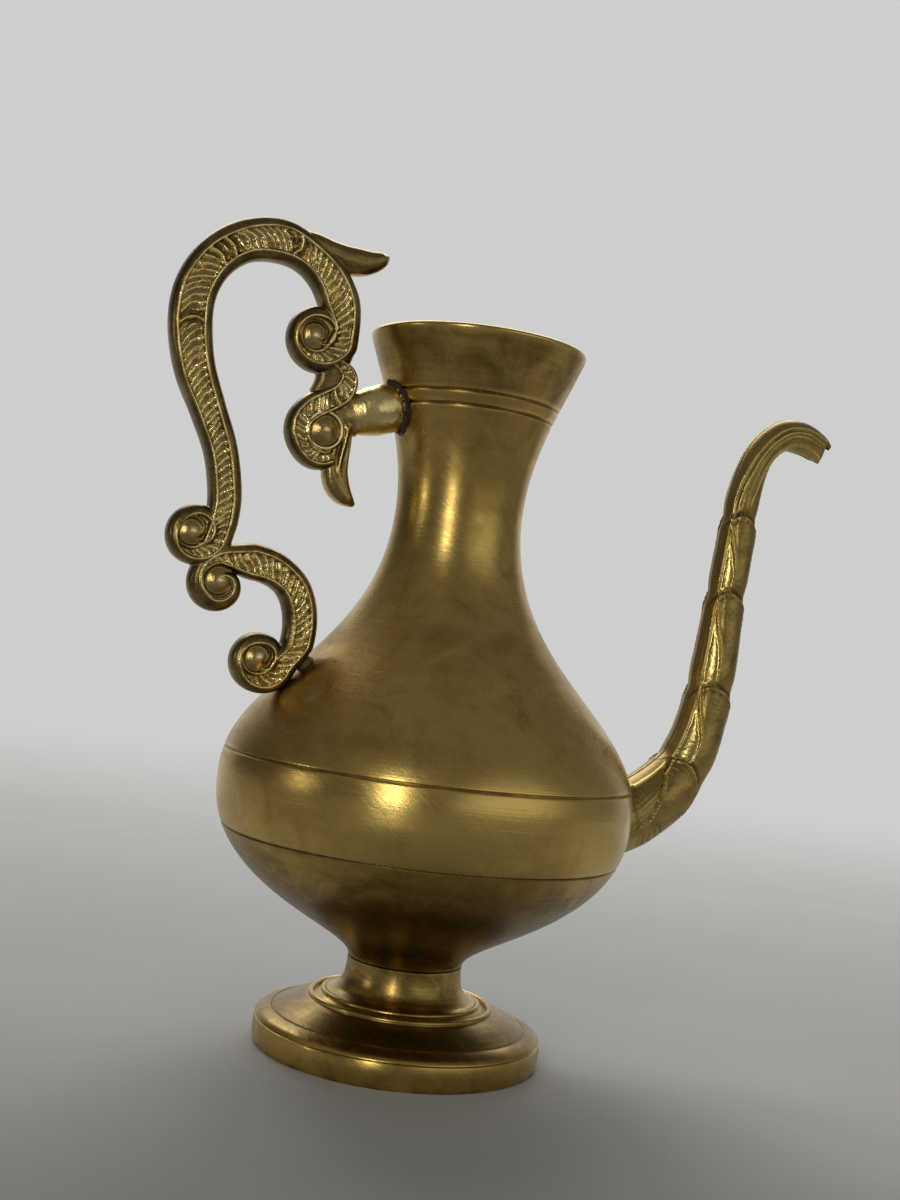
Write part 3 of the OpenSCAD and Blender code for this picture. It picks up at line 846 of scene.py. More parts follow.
@dataclass
class PotFoot:
    """Turned foot: side band, sloping plate, two beads, cove and stem.

    Attributes:
        foot_r: Radius of the side band.
        band_h: Height of the side band.
        line_r: Radius of the plate's turned line.
        line_h: Height of that line.
        plate_h: Height of the plate's inner edge.
        outer_bead_r: Radius of the outer bead.
        inner_bead_r: Radius of the inner bead.
        bead_d: Thickness of a bead.
        stem_r: Radius of the stem.
        stem_z: Height of the joint with the bowl.
        hub_r: Radius of the hub underneath.
        wall: Thickness of the casting.
        tenon_r: Radius of the tenon.
    """

    foot_r: float = 35.7
    band_h: float = 6.3
    line_r: float = 31.4
    line_h: float = 8.6
    plate_h: float = 12.0
    outer_bead_r: float = 22.2
    inner_bead_r: float = 19.2
    bead_d: float = 1.3
    stem_r: float = 14.2
    stem_z: float = 22.2
    hub_r: float = 7.0
    wall: float = 3.4
    tenon_r: float = 5.0

    def bead(self, r: float, z: float) -> List[Pair]:
        """Outside of a round bead, going inwards over its top."""
        half = self.bead_d / 2
        return [(r + half * math.cos(a), z + half * math.sin(a)) for a in np.radians(range(-20, 201, 20))]

    def build(self, turning: Turning) -> Piece:
        """Makes the foot.

        Args:
            turning: How the foot is turned.

        Returns:
            The piece.
        """
        f, b = self, self.bead_d
        base = f.foot_r - 0.6
        cove_z = f.plate_h + b * 1.4
        band = bezier_run([
            (base, 0), (f.foot_r, f.band_h * 0.25),
            (f.foot_r + 0.05, f.band_h * 0.7), (f.foot_r - 0.3, f.band_h - 0.2),
        ], 14)
        rim = bezier_run([
            (f.foot_r - 0.4, f.band_h + 0.1), (f.foot_r - 0.6, f.band_h + 1),
            (f.line_r + 2.2, f.line_h - 0.6), (f.line_r + 0.3, f.line_h - 0.1),
        ], 14)
        plate = bezier_run([
            (f.line_r - 0.3, f.line_h), (f.line_r - 1.9, f.line_h + 0.8),
            (f.outer_bead_r + 4.8, f.plate_h - 1.2), (f.outer_bead_r + b / 2, f.plate_h),
        ], 16)
        cove = bezier_run([
            (f.inner_bead_r - b / 2, cove_z), (f.stem_r + 1.4, cove_z + 0.4),
            (f.stem_r, cove_z + 2.6), (f.stem_r, f.stem_z - 0.1),
        ], 26)
        hollow_r, hollow_z = base - f.wall, f.plate_h - f.wall
        profile = np.vstack([
            [(0.0, 0.0), (f.hub_r - 0.2, 0.0), (f.hub_r, 0.0), (f.hub_r, hollow_z - f.wall)],
            [(f.hub_r + f.wall, hollow_z), (hollow_r - f.wall * 2, hollow_z - f.wall / 2)],
            [(hollow_r - f.wall / 2, hollow_z - f.wall), (hollow_r, 0.0), (base - 0.25, 0.0)],
            band[1:], [(f.foot_r - 0.62, f.band_h)], rim, [(f.line_r, f.line_h - 0.3)], plate,
            self.bead(f.outer_bead_r, f.plate_h + b * 0.3),
            [((f.inner_bead_r + f.outer_bead_r) / 2, f.plate_h + b / 4)],
            self.bead(f.inner_bead_r, cove_z - b * 0.4), cove,
            [(f.tenon_r, f.stem_z - 0.1), (f.tenon_r, f.stem_z + 2.4)],
            [(f.tenon_r - 0.5, f.stem_z + 2.9), (0.0, f.stem_z + 2.9)],
        ])
        return turning.turn(profile, "turned_foot", 34.0, looped=False, rubbed=FOOT_RUBBED)


# ---- The cast handle ----


@dataclass
class Ribbon:
    """A stroke of the casting between two edges, with rounded sides, raised rims and a ribbed panel.

    Attributes:
        left: Edge points on the left of its way, as x and z.
        right: Edge points on the right.
        round_left: Width of the rounded side at the left edge.
        round_right: The same at the right edge.
        half: Half thickness of the casting.
        edge: Half thickness left at the very edge.
        sink: Depth of the panel.
        rib: Height of the ribs in the panel.
        pitch: Distance between ribs.
        slant: How far a rib runs along for each unit across.
        bow: How much a rib bows.
        lip: Height of the raised rims.
        leaves: Places of the leaf ends, as x and z.
        calm: Lengths at both ends where the ribs have faded out.
        seed: Number that picks the hand's unevenness.
    """

    left: Array
    right: Array
    round_left: Array
    round_right: Array
    half: float = 3.5
    edge: float = 0.7
    sink: float = 0.9
    rib: float = 0.86
    pitch: float = 1.75
    slant: float = 0.55
    bow: float = 0.05
    lip: float = 0.2
    leaves: Tuple[Pair, ...] = ()
    calm: Pair = (0.0, 0.0)
    seed: int = 1

    def rings(self) -> Tuple[Array, Array]:
        """Points of the stroke's sections, and how rubbed each is.

        Returns:
            Array of section, point and x, y, z, and the rubbed values.
        """
        mid, width = (self.left + self.right) / 2, np.linalg.norm(self.left - self.right, axis=1)
        run = travelled(mid)
        sides = np.linspace(0, 0.2, 12)[:-1], np.linspace(0.2, 0.8, 32)[:-1], np.linspace(0.8, 1, 12)
        across = np.concatenate(sides)
        from_left = across[None, :] * width[:, None]
        from_right = width[:, None] - from_left
        in_left = from_left - np.maximum(self.round_left, 0.05)[:, None]
        in_right = from_right - np.maximum(self.round_right, 0.05)[:, None]
        off = from_left - width[:, None] / 2
        place = np.stack([run[:, None] + 0 * off, off, 0 * off], axis=2).reshape(-1, 3)
        slow, quick = (wobble(place + self.seed, size, self.seed).reshape(off.shape) for size in (7.0, 2.6))

        def side(d: Array, b: Array) -> Array:
            """Height of a rounded side at a distance from its edge."""
            q = np.clip(d / np.maximum(b, 0.05)[:, None], 0, 1)
            return self.edge + (self.half - self.lip - self.edge) * np.sqrt(1 - (1 - q) ** 2)

        height = np.minimum(side(from_left, self.round_left), side(from_right, self.round_right))
        inside = smooth_step(in_left, 0.28, 0.7) * smooth_step(in_right, 0.28, 0.7)
        last = run[-1] - self.calm[1]
        still = np.maximum(smooth_step(self.calm[0] - run, -4, 4), smooth_step(run, last - 4, last + 4))[:, None]
        rounds = (self.round_left, self.round_right)
        keep_l, keep_r = (1 - still * (1 - smooth_step(b, 0.9, 1.15)[:, None]) for b in rounds)
        rim = np.maximum(keep_l * bell(in_left - 0.1, 0.26), keep_r * bell(in_right - 0.1, 0.26))
        wave = 0.34 * np.sin(math.tau * off / width[:, None])
        phase = (run[:, None] + self.slant * off + self.bow * off**2) / self.pitch + wave + 0.34 * slow + 0.12 * quick
        ridge = np.clip(0.5 + 0.5 * np.cos(math.tau * phase), 0, 1) ** 0.75
        strength = np.clip(0.8 + 0.2 * slow + 0.3 * quick, 0.2, 1.1) * (1 - still)
        lift = self.rib * ridge * strength
        # Ridges are set bright, partly rubbed wear on the high points and partly a painted highlight standing in for
        # their glints.
        shine = (0.18 + 0.95 * ridge * strength) * (1 - still) + 0.3 * still + 0.15 * np.maximum(quick, 0)
        for leaf in self.leaves:
            there = run[np.argmin(np.linalg.norm(mid - np.array(leaf), axis=1))]
            d = run[:, None] - there + 0.16 * off**2 + 0.2 * quick
            hollow = np.clip(bell(d - 1.15, 0.6) + bell(d + 0.95, 0.4), 0, 1)
            arc = bell(d, 0.5)
            lift = np.maximum(lift * (1 - hollow), (self.sink + 0.3) * arc)
            shine = np.maximum(shine * (1 - 0.92 * hollow), 1.1 * arc)
        height = height + self.lip * rim - inside * (self.sink - lift) + 0.03 * quick
        skirt = (0.13 + 0.1 * slow) * (1 - inside) * (1 - rim)
        wear_and_painted_highlight = np.clip(skirt + 0.9 * rim * (0.85 + 0.25 * quick) + inside * shine, 0, 1)
        sway = 1 + (0.1 * slow / width[:, None])
        span = (self.right - self.left)[:, None, :] * ((across[None, :] - 0.5) * sway + 0.5)[:, :, None]
        return two_faced(self.left[:, None, :] + span, height, wear_and_painted_highlight)


Edges = Tuple[Array, Array, Array, Array]


def stroke_edges(path: Array) -> Tuple[Array, Array]:
    """Left and right edges of a path with half widths.

    Args:
        path: Rows of x, z and half width.

    Returns:
        The two edges.
    """
    way = headings(path[:, :2])
    side = np.stack([-way[:, 1], way[:, 0]], axis=1)
    return path[:, :2] + side * path[:, 2:3], path[:, :2] - side * path[:, 2:3]


@dataclass
class Curl:
    """The rolled end of a stroke.

    Attributes:
        centre: Middle of its outside circle, as x and z.
        eye: Middle of the boss in its eye.
        turns: Angles in degrees along the roll, from the stroke inwards.
        outer: Outside radius at each angle, about the centre.
        band: Width of the rounded outer band at each angle.
        inner: Inside radius at each angle, about the eye.
    """

    centre: Pair
    eye: Pair
    turns: Sequence[float]
    outer: Sequence[float]
    band: Sequence[float]
    inner: Sequence[float]

    def edges(self) -> Tuple[Array, Array, Array]:
        """Outer edge, inner edge and band width, from the stroke inwards."""
        step = 4.0 if self.turns[-1] > self.turns[0] else -4.0
        a = np.arange(self.turns[0], self.turns[-1], step)
        sign = 1 if step > 0 else -1
        knots = np.array(self.turns) * sign

        def at(values: Sequence[float]) -> Array:
            """Values along the roll, rounded between the knots."""
            q = through_run(np.stack([knots, np.array(values, float)], axis=1), 8)
            return np.interp(a * sign, q[:, 0], q[:, 1])

        out = np.stack([np.cos(np.radians(a)), np.sin(np.radians(a))], axis=1)
        outer = np.array(self.centre) + out * at(self.outer)[:, None]
        inner = np.array(self.eye) + out * at(self.inner)[:, None]
        return outer, inner, at(self.band)


ROLL = (0, -45, -90, -135, -180, -225, -270, -315, -360, -405, -440)
BACK_CURL = Curl(
    (-65.9, 119.7), (-67.6, 120.0), ROLL, (8.8, 7.7, 7.3, 7.2, 7.0, 7.0, 7.0, 6.6, 5.6, 4.2, 3.0),
    (2.2, 1.7, 1.5, 1.7, 1.9, 2.6, 2.4, 2.2, 2.0, 1.6, 1.2), (2.9, 2.8, 2.8, 2.7, 2.6, 2.6, 2.6, 2.4, 1.6, 0.6, 0.2),
)
UPPER_CURL = Curl(
    (-42.3, 170.3), (-44.0, 170.2), ROLL, (10.2, 8.9, 8.5, 8.0, 7.7, 7.6, 7.2, 6.6, 5.2, 3.9, 2.8),
    (2.3, 2.1, 2.1, 1.5, 1.4, 2.0, 2.4, 2.2, 2.0, 1.6, 1.2), (3.0, 2.9, 2.8, 2.7, 2.6, 2.6, 2.6, 2.5, 1.6, 0.6, 0.2),
)
MIDDLE_CURL = Curl(
    (-59.85, 108.95), (-59.8, 109.5), (72, 110, 150, 190, 230, 270, 310, 350, 390, 425, 455),
    (9.9, 8.0, 7.0, 6.7, 6.65, 6.65, 6.6, 6.3, 5.2, 3.6, 2.6),
    (1.9, 1.9, 2.1, 2.5, 2.9, 2.4, 2.3, 2.1, 1.9, 1.5, 1.1), (3.4, 3.1, 2.9, 2.8, 2.8, 2.7, 2.6, 2.2, 1.3, 0.6, 0.2),
)
LOWER_CURL = Curl(
    (-47.2, 91.9), (-48.2, 92.7), ROLL, (9.6, 8.4, 7.5, 7.1, 7.0, 7.0, 6.9, 6.5, 5.4, 4.0, 2.8),
    (2.0, 1.7, 1.6, 1.9, 1.8, 1.9, 2.4, 2.2, 2.0, 1.6, 1.2), (3.0, 2.9, 2.8, 2.8, 2.8, 2.7, 2.6, 2.4, 1.5, 0.6, 0.2),
)


def disc(shape: Shape, centre: Pair, section: Sequence[Triple]) -> None:
    """Adds a round form that is the same on both faces.

    Args:
        shape: Mesh that gets it.
        centre: Its middle, as x and z.
        section: Radius, half thickness and rubbed value, from its top's middle outwards.
    """
    rows = [(r, -y, w) for r, y, w in section] + [(r, y, w) for r, y, w in section[::-1]]
    a = angles(44)
    x, z = centre
    rings = np.array([[(x + r * math.cos(t), y, z + r * math.sin(t)) for t in a] for r, y, _ in rows])
    wear_and_painted_highlight = np.repeat(np.array([w for _, _, w in rows])[:, None], len(a), axis=1)
    shape.add_rings(rings, closed=True, capped=True, wear_and_painted_highlight=wear_and_painted_highlight)


def dome(radius: float, reach: float, base: float) -> List[Triple]:
    """Section of a round boss that flows into the face round it, rubbed on top."""
    rows = []
    for q in np.linspace(0.03, 1.0, 14):
        rise = math.cos(q * math.pi / 2) ** 1.45
        rows.append((radius * q, base + (reach - base) * rise, 0.18 + 0.5 * rise))
    return rows + [(radius, base - 0.8, 0.15)]


def ring_bead(radius: float, thick: float, middle: float) -> List[Triple]:
    """Section of a raised ring that surrounds a boss."""
    arc = [
        (radius + thick * math.cos(t), middle + thick * math.sin(t), 0.3 + 0.5 * max(math.sin(t), 0.0) ** 2)
        for t in np.radians(range(180, -1, -20))
    ]
    inside = [(0.1, middle - 0.5, 0.1), (radius - thick, middle - 0.3, 0.1)]
    return inside + arc + [(radius + thick, middle - 1.0, 0.1)]


# Paths of the strokes and tails, as x, height above the handle's datum and half width
LONG_PATH = (
    (-60.2, -11.5, 3.8), (-60.1, -5, 3.85), (-62.3, 4.9, 3.9), (-66.7, 14.4, 4.2), (-71, 23.4, 4.75),
    (-73.3, 33.4, 5.05), (-72.9, 41.9, 5.05), (-69.1, 49.5, 4.95), (-62.4, 54.8, 4.95), (-54, 56.5, 5.2),
    (-47, 54.4, 4.6), (-41.5, 50.3, 4.8), (-37.9, 44.7, 4.9), (-36, 39.2, 3.8),
)
LOWER_PATH = (
    (-52, -19.4, 4.4), (-47.3, -20.2, 4.3), (-43.3, -22.2, 4.1), (-40.4, -25.1, 4.1), (-38.6, -29.2, 4.1),
    (-37.9, -34, 4), (-38.2, -38.3, 3.95),
)
FRONT_PATH = (
    (-38.6, 30.7, 1.3), (-36, 29.7, 1.8), (-34.3, 28.1, 2.4), (-34, 26, 2.8), (-35.2, 23.2, 3.1), (-38.4, 21.1, 3.2),
    (-41.8, 19.1, 3.2), (-44.3, 16.2, 3), (-44.8, 12.8, 2.8), (-43.7, 9.8, 2.6), (-41.3, 7.4, 2.5), (-38.4, 6.7, 2.4),
    (-35.8, 7.6, 2.2),
)
TOP_TAIL = (
    (-53, 57.2, 2.0), (-50, 57.6, 2.5), (-46, 57.2, 2.9), (-42, 56.2, 3.1), (-38, 55.5, 3.4), (-34.6, 55.6, 3.3),
    (-31.6, 56.1, 2.8), (-29, 57.2, 2), (-27.2, 58.5, 0.7),
)
LOW_TAIL = (
    (-32.6, 17.0, 1.5), (-32.9, 14.2, 1.9), (-33.3, 11.2, 2.3), (-33.9, 7.6, 2.85), (-34.0, 4.4, 3.1),
    (-33.0, 1.4, 2.95), (-31.2, -0.9, 2.2), (-29.2, -2.2, 1.2), (-28.2, -2.6, 0.6),
)
WEB = ((-38.2, 32.6, 5.2), (-38.0, 29.2, 4.0), (-37.9, 26.4, 3.7), (-37.7, 23.4, 5.0))
# Tails, how much thinner than the casting they are, whether they are fluted and how rubbed they are
TAILS = ((TOP_TAIL, 0.4, False, 0.18), (LOW_TAIL, 0.5, True, 0.26), (WEB, 0.75, False, 0.12))


@dataclass
class ScrollHandle:
    """One casting: long S-stroke with a scroll at each end, C-scroll below, small front scroll and two leaf tails.

    Attributes:
        top: Height that the strokes are measured from.
        half: Half thickness of the casting.
        grain: Size of the finest form that the casting keeps.
        front_eye: Middle of the boss that the front stroke rolls round, as x and z.
    """

    top: float = 134.6
    half: float = 3.5
    grain: float = 0.2
    front_eye: Pair = (-38.6, 148.45)

    def lifted(self, rows: Sequence[Sequence[float]], steps: int = 6) -> Array:
        """Smooth path of a stroke in the pot's frame."""
        q = np.array(rows, float)
        q[:, 1] += self.top
        return evened(through_run(q, steps), 0.3)

    def joined(self, parts: Sequence[Edges]) -> Edges:
        """Joins edge runs end to end and spaces them evenly.

        Args:
            parts: Runs of left edge, right edge and the two rounded widths.

        Returns:
            One run.
        """
        left, right, a, b = (np.concatenate([p[k] for p in parts]) for k in range(4))
        mid = (left + right) / 2
        rows = evened(np.column_stack([mid, left, right, a, b]), 0.28)
        for _ in range(6):
            rows[1:-1] = rows[1:-1] * 0.5 + (rows[:-2] + rows[2:]) * 0.25
        return rows[:, 2:4], rows[:, 4:6], rows[:, 6], rows[:, 7]

    def roll(self, curl: Curl, leaving: bool = True, outer_left: bool = True) -> Edges:
        """Edges and rounded widths of a curl, ready to be joined to a stroke.

        Args:
            curl: The curl.
            leaving: Whether the stroke runs into it, and not out of it.
            outer_left: Whether its outer edge is on the left.

        Returns:
            Left edge, right edge and the two rounded widths.
        """
        outer, inner, band = curl.edges()
        runs = (outer, inner, band, np.clip(band * 0.5, 0.3, 0.9))
        outer, inner, band, thin = (run[2:] if leaving else run[::-1][:-2] for run in runs)
        return (outer, inner, band, thin) if outer_left else (inner, outer, thin, band)

    def stroke(self, rows: Sequence[Triple], rounds: Sequence[Sequence[Pair]], curls: Sequence[Edges] = (),
               steps: int = 6) -> Edges:
        """Edges and rounded widths of a stroke.

        Args:
            rows: Its path.
            rounds: Rounded widths on the left and on the right, by share of its length.
            curls: The curls that it comes from and runs into.
            steps: Steps between two points of the path.

        Returns:
            Left edge, right edge and the two rounded widths.
        """
        path = self.lifted(rows, steps)
        t = np.linspace(0, 1, len(path))
        middle = (*stroke_edges(path), *(np.interp(t, *np.array(knots, float).T) for knots in rounds))
        return self.joined([*curls[:1], middle, *curls[1:]])

    def long_stroke(self) -> Ribbon:
        """The S-stroke from the back scroll over the top to the front scroll."""
        rounds = (
            ((0, 1.1), (0.08, 1.2), (0.3, 1.1), (0.5, 1.5), (0.65, 2.3), (0.85, 2.2), (1, 2.3)),
            ((0, 2.2), (0.1, 2.4), (0.3, 2.3), (0.5, 2.2), (0.65, 2.2), (0.85, 1.6), (1, 0.9)),
        )
        edges = self.stroke(LONG_PATH, rounds, (self.roll(BACK_CURL, False, False), self.roll(UPPER_CURL)))
        leaves = ((-73.0, 168.9), (-70.3, 185.8), (-67.4, 188.4), (-50.0, 190.3))
        return Ribbon(*edges, self.half, leaves=leaves, calm=(25.0, 25.0), slant=-0.85, seed=3)

    def lower_stroke(self) -> Ribbon:
        """The C-stroke below, with a scroll at each end."""
        rounds = (((0, 2.0), (0.5, 1.9), (1, 1.9)), ((0, 1.2), (0.5, 1.5), (1, 1.9)))
        edges = self.stroke(LOWER_PATH, rounds, (self.roll(MIDDLE_CURL, False), self.roll(LOWER_CURL)))
        return Ribbon(*edges, self.half - 0.1, pitch=1.95, slant=-1.1, calm=(24.0, 24.0), seed=11)

    def front_stroke(self) -> Ribbon:
        """The small S-stroke under the front scroll, rolled round its own boss."""
        rounds = (
            ((0, 0.8), (0.25, 1.1), (0.45, 0.6), (1, 0.5)), ((0, 0.5), (0.25, 0.7), (0.45, 1.3), (1, 1.3)),
        )
        return Ribbon(
            *self.stroke(FRONT_PATH, rounds, steps=8), self.half - 0.25, sink=0.8, rib=0.8, pitch=1.6, slant=0.1,
            bow=0.02, leaves=((-37.0, 156.6),), seed=17,
        )

    def tail(self, shape: Shape, rows: Sequence[Triple], half: float, fluted: bool, rubbed: float) -> None:
        """Adds a leaf-shaped tail.

        Args:
            shape: Mesh that gets it.
            rows: Its path, as x, height and half width.
            half: Half thickness.
            fluted: Whether it has a midrib between two hollows.
            rubbed: How rubbed its faces are.
        """
        path = self.lifted(rows, 8)
        left, right = stroke_edges(path)
        across = np.linspace(0, 1, 33)
        u = across * 2 - 1
        t = np.linspace(0, 1, len(path))
        wear_and_painted_highlight = rubbed + 0.3 * bell(1 - np.abs(u), 0.12)[None, :] + 0 * t[:, None]
        thick = np.minimum(half, path[:, 2] * 1.7)[:, None]
        height = thick * (0.28 + 0.72 * np.sqrt(np.maximum(1 - np.abs(u) ** 2.2, 0)))[None, :]
        if fluted:
            d = (u[None, :] - 0.05 + 0.2 * t[:, None]) * path[:, 2:3]
            fade = (smooth_step(t, 0.05, 0.16) * smooth_step(1 - t, 0.3, 0.66))[:, None]
            midrib = bell(d, 0.3)
            height = height - fade * (0.8 * bell(np.abs(d) - 0.95, 0.55) - 0.3 * midrib)
            wear_and_painted_highlight = wear_and_painted_highlight + fade * (0.55 * midrib - 0.22 * bell(np.abs(d) - 0.85, 0.5))
        else:
            d = (u[None, :] - 0.35) * path[:, 2:3]
            fade = smooth_step(1 - t, 0.3, 0.8)[:, None]
            height = height - 0.25 * bell(d, 0.4) * fade
            wear_and_painted_highlight = wear_and_painted_highlight - 0.2 * bell(d, 0.4) * fade
        flat = left[:, None, :] + (right - left)[:, None, :] * across[None, :, None]
        rings, marks = two_faced(flat, height, wear_and_painted_highlight)
        shape.add_rings(rings, wear_and_painted_highlight=marks)

    def build(self) -> Piece:
        """Makes the casting and melts its strokes into one skin.

        Returns:
            The piece.
        """
        shape = Shape()
        for ribbon in (self.long_stroke(), self.lower_stroke(), self.front_stroke()):
            rings, wear_and_painted_highlight = ribbon.rings()
            shape.add_rings(rings, wear_and_painted_highlight=wear_and_painted_highlight)
        for rows, thinner, fluted, rubbed in TAILS:
            self.tail(shape, rows, self.half - thinner, fluted, rubbed)
        face = self.half - 0.95
        for curl in (BACK_CURL, UPPER_CURL, MIDDLE_CURL, LOWER_CURL):
            disc(shape, curl.eye, [(0.1, face, 0.25), (3.9, face, 0.25)])
            disc(shape, curl.eye, dome(3.5, self.half + 0.2, self.half - 1.0))
        disc(shape, self.front_eye, ring_bead(4.35, 0.5, face))
        disc(shape, self.front_eye, dome(3.75, self.half + 0.2, self.half - 1.25))
        self.socket(shape)
        marks = kdtree.KDTree(shape.count)
        for index, point in enumerate(np.vstack(shape.points)):
            marks.insert(point, index)
        marks.balance()
        wear_and_painted_highlight = np.concatenate(shape.wear_and_painted_highlight)
        piece = show(shape.mesh("handle_casting", 1.0), "scroll_handle_casting")
        flow(piece, "REMESH", "skin", mode="VOXEL", voxel_size=self.grain, adaptivity=0.0, use_smooth_shade=True)
        skin = piece.data
        value = skin.attributes.get("wear_and_painted_highlight") or skin.attributes.new("wear_and_painted_highlight", "FLOAT", "POINT")
        nearest = [wear_and_painted_highlight[marks.find(v.co)[1]] for v in skin.vertices]
        value.data.foreach_set("value", np.array(nearest, dtype=np.float32))
        skin.transform(Matrix.Scale(MM, 4))
        return piece

    def socket(self, shape: Shape) -> None:
        """Adds the boss that carries the neck strut."""
        way, up = STRUT.axes()
        a = angles(48)[:, None]
        start = np.array([-31.57, 0, 153.3])
        rings = [
            start + way * s + up * (5.2 - e) * np.cos(a) + ACROSS * (3.2 - e) * np.sin(a)
            for s, e in ((-6.0, 1.6), (-4.0, 0.9), (-2.0, 0.35), (0.0, 0.0))
        ]
        shape.add_rings(np.array(rings))


# ---- Strut, pegs and solder ----


@dataclass
class NeckStrut:
    """Bud-shaped strut between the handle and the neck, and the solder round its end.

    Attributes:
        start: Middle of its end at the handle.
        slope: Its rise towards the neck, in degrees.
        handle_high: Half height of its section at the handle.
        handle_wide: Half width there.
        neck_high: Half height of its section at the neck.
        neck_wide: Half width there.
        full: Share of its length where the solder is measured.
        gap: Gap left between it and the neck.
        around: Points round a section.
        guess: Length from which its end is run on to the neck.
        bud: Share of the length, half height and half width of the bud.
    """

    start: Triple = (-31.572, 0.0, 153.3)
    slope: float = 20.0
    handle_high: float = 5.2
    handle_wide: float = 3.2
    neck_high: float = 6.3
    neck_wide: float = 6.2
    full: float = 0.8
    gap: float = 0.04
    around: int = 72
    guess: float = 8.0
    bud: Tuple[Triple, ...] = (
        (0, 4.7, 3.1), (0.18, 5.3, 4.6), (0.42, 5.95, 5.6), (0.68, 6.2, 5.95), (0.88, 6.05, 5.85), (1, 5.75, 5.6),
    )

    def axes(self) -> Tuple[Array, Array]:
        """Direction of the strut and of its top side."""
        a = math.radians(self.slope)
        return np.array([math.cos(a), 0, math.sin(a)]), np.array([-math.sin(a), 0, math.cos(a)])

    def section(self, s: float, extra: Union[float, Array] = 0.0) -> Array:
        """Section about its middle, at s from 0 at the handle to 1 at the neck."""
        swell = math.sin(min(max(s, 0.0), 1.0) * math.pi / 2)
        high = self.handle_high + (self.neck_high - self.handle_high) * swell + extra
        wide = self.handle_wide + (self.neck_wide - self.handle_wide) * swell + extra
        return self.oval(high, wide)

    def oval(self, high: Union[float, Array], wide: Union[float, Array]) -> Array:
        """Oval across the strut, about its middle."""
        a = angles(self.around)
        return self.axes()[1] * (high * np.cos(a))[:, None] + ACROSS * (wide * np.sin(a))[:, None]

    def seated(self, body: PotBody, points: Array, way: Array, gap: float) -> Array:
        """Points run on along a direction until they rest on the body."""
        q = points.copy()
        for _ in range(20):
            r = np.array([body.radius(z) for z in q[:, 2]])
            q = q + way * ((np.hypot(q[:, 0], q[:, 1]) - r - gap) * 0.8)[:, None]
        return q

    def build(self, body: PotBody) -> List[Piece]:
        """Makes the strut and its solder.

        Args:
            body: The body that it rests on.

        Returns:
            The two pieces.
        """
        way, _ = self.axes()
        base = np.array(self.start)
        knots = np.array(self.bud)

        def slice_at(f: float) -> Array:
            """Section of the bud at the share f of its length."""
            return self.oval(np.interp(f, knots[:, 0], knots[:, 1]), np.interp(f, knots[:, 0], knots[:, 2]))

        end = self.seated(body, base + way * self.guess + slice_at(1.0), way, self.gap)
        reach = (end - base) @ way
        rings, wear_and_painted_highlight = [], []
        for f in np.linspace(0, 1, 40):
            q = base + way * (reach * f)[:, None] + slice_at(f) if f < 1 else end
            late = smooth_step(np.array([f]), 0.6, 0.9)[0]
            rough = 0.13 * wobble(q, 2.2, 23) * late + 0.07 * wobble(q, 6.0, 29)
            lip = 0.14 * math.exp(-(((f - 0.965) / 0.02) ** 2)) - 0.2 * math.exp(-(((f - 0.93) / 0.016) ** 2))
            rings.append(q + unit(slice_at(0.5)) * (rough + lip - 0.04)[:, None])
            # Painted highlight: the strut is set lighter along its middle and darker towards both ends.
            wear_and_painted_highlight.append(0.3 + 0.5 * math.exp(-(((f - 0.45) / 0.3) ** 2)) + 0.3 * wobble(q, 3.0, 31) * late)
        shape = Shape()
        shape.add_rings(np.array(rings)[:, ::-1], wear_and_painted_highlight=np.clip(np.array(wear_and_painted_highlight)[:, ::-1], 0, 1))
        strut = show(shape.mesh("neck_strut_bud"), "neck_strut_bud", 50.0)
        return [strut, self.collar(body)]

    def collar(self, body: PotBody) -> Piece:
        """Makes the lumpy run of solder where the strut meets the neck."""
        way, _ = self.axes()
        base = np.array(self.start)
        rings = []
        edge = self.section(self.full)
        ragged = 0.6 * wobble(edge, 2.4, 53) + 0.45 * wobble(edge, 0.9, 59)
        def foot(extra: Array, gap: float) -> Array:
            """One line of the run where it rests on the neck."""
            return self.seated(body, base + way * self.guess + self.section(self.full, extra), way, gap)

        for t in np.linspace(0, 1, 19):
            back = 1.1 * (1 - t) ** 1.5 * (1.0 + 0.7 * np.roll(ragged, 9))
            q = foot(-0.3 + 1.0 * t**1.6 + 0.8 * t * ragged, 0.06) - way * back[:, None]
            lump = 0.42 * wobble(q, 2.6, 41) + 0.4 * wobble(q, 1.0, 43) + 0.22 * wobble(q, 0.55, 47)
            swell = np.maximum(lump, -0.32) * math.sin(math.pi * min(t * 0.9 + 0.1, 1.0))
            rings.append(q + unit(self.section(0.5)) * swell[:, None])
        for extra, back, loose in ((0.65, 0.0, 0.8), (-0.45, 0.0, 0.0), (-0.45, 0.7, 0.0)):
            rings.append(foot(extra + loose * ragged, 0.03) - way * back)
        rings.append(rings[0])
        shape = Shape()
        shape.add_rings(np.array(rings), closed=True, capped=False)
        return show(shape.mesh("neck_solder_run"), "neck_solder_run", 70.0)


# ---- The spout ----


@dataclass(frozen=True)
class LeafCut:
    """How one chased leaf is cut.

    Attributes:
        reach: Share of the leaf's length over which its vein swings out and fades.
        sweep: Degrees that the vein swings out.
        shaky: How unsteady the vein is.
        hang: How far the leaf's tip hangs down on its outer side.
        bared: How rubbed its inner facet is.
        fade: Share of the vein that is lost towards its root.
        vein: Height of the vein.
        shine: How rubbed the vein is.
        hatch: Height of the hatching in the facet.
    """

    reach: float = 0.8
    sweep: float = 38.0
    shaky: float = 0.15
    hang: float = 2.9
    bared: float = 0.45
    fade: float = 0.6
    vein: float = 0.42
    shine: float = 0.6
    hatch: float = 0.0


ROOT_LEAF = LeafCut(1.0, 72.0, 0.3, 6.5, 0.02, 0.35, 0.62, 0.9, 0.09)


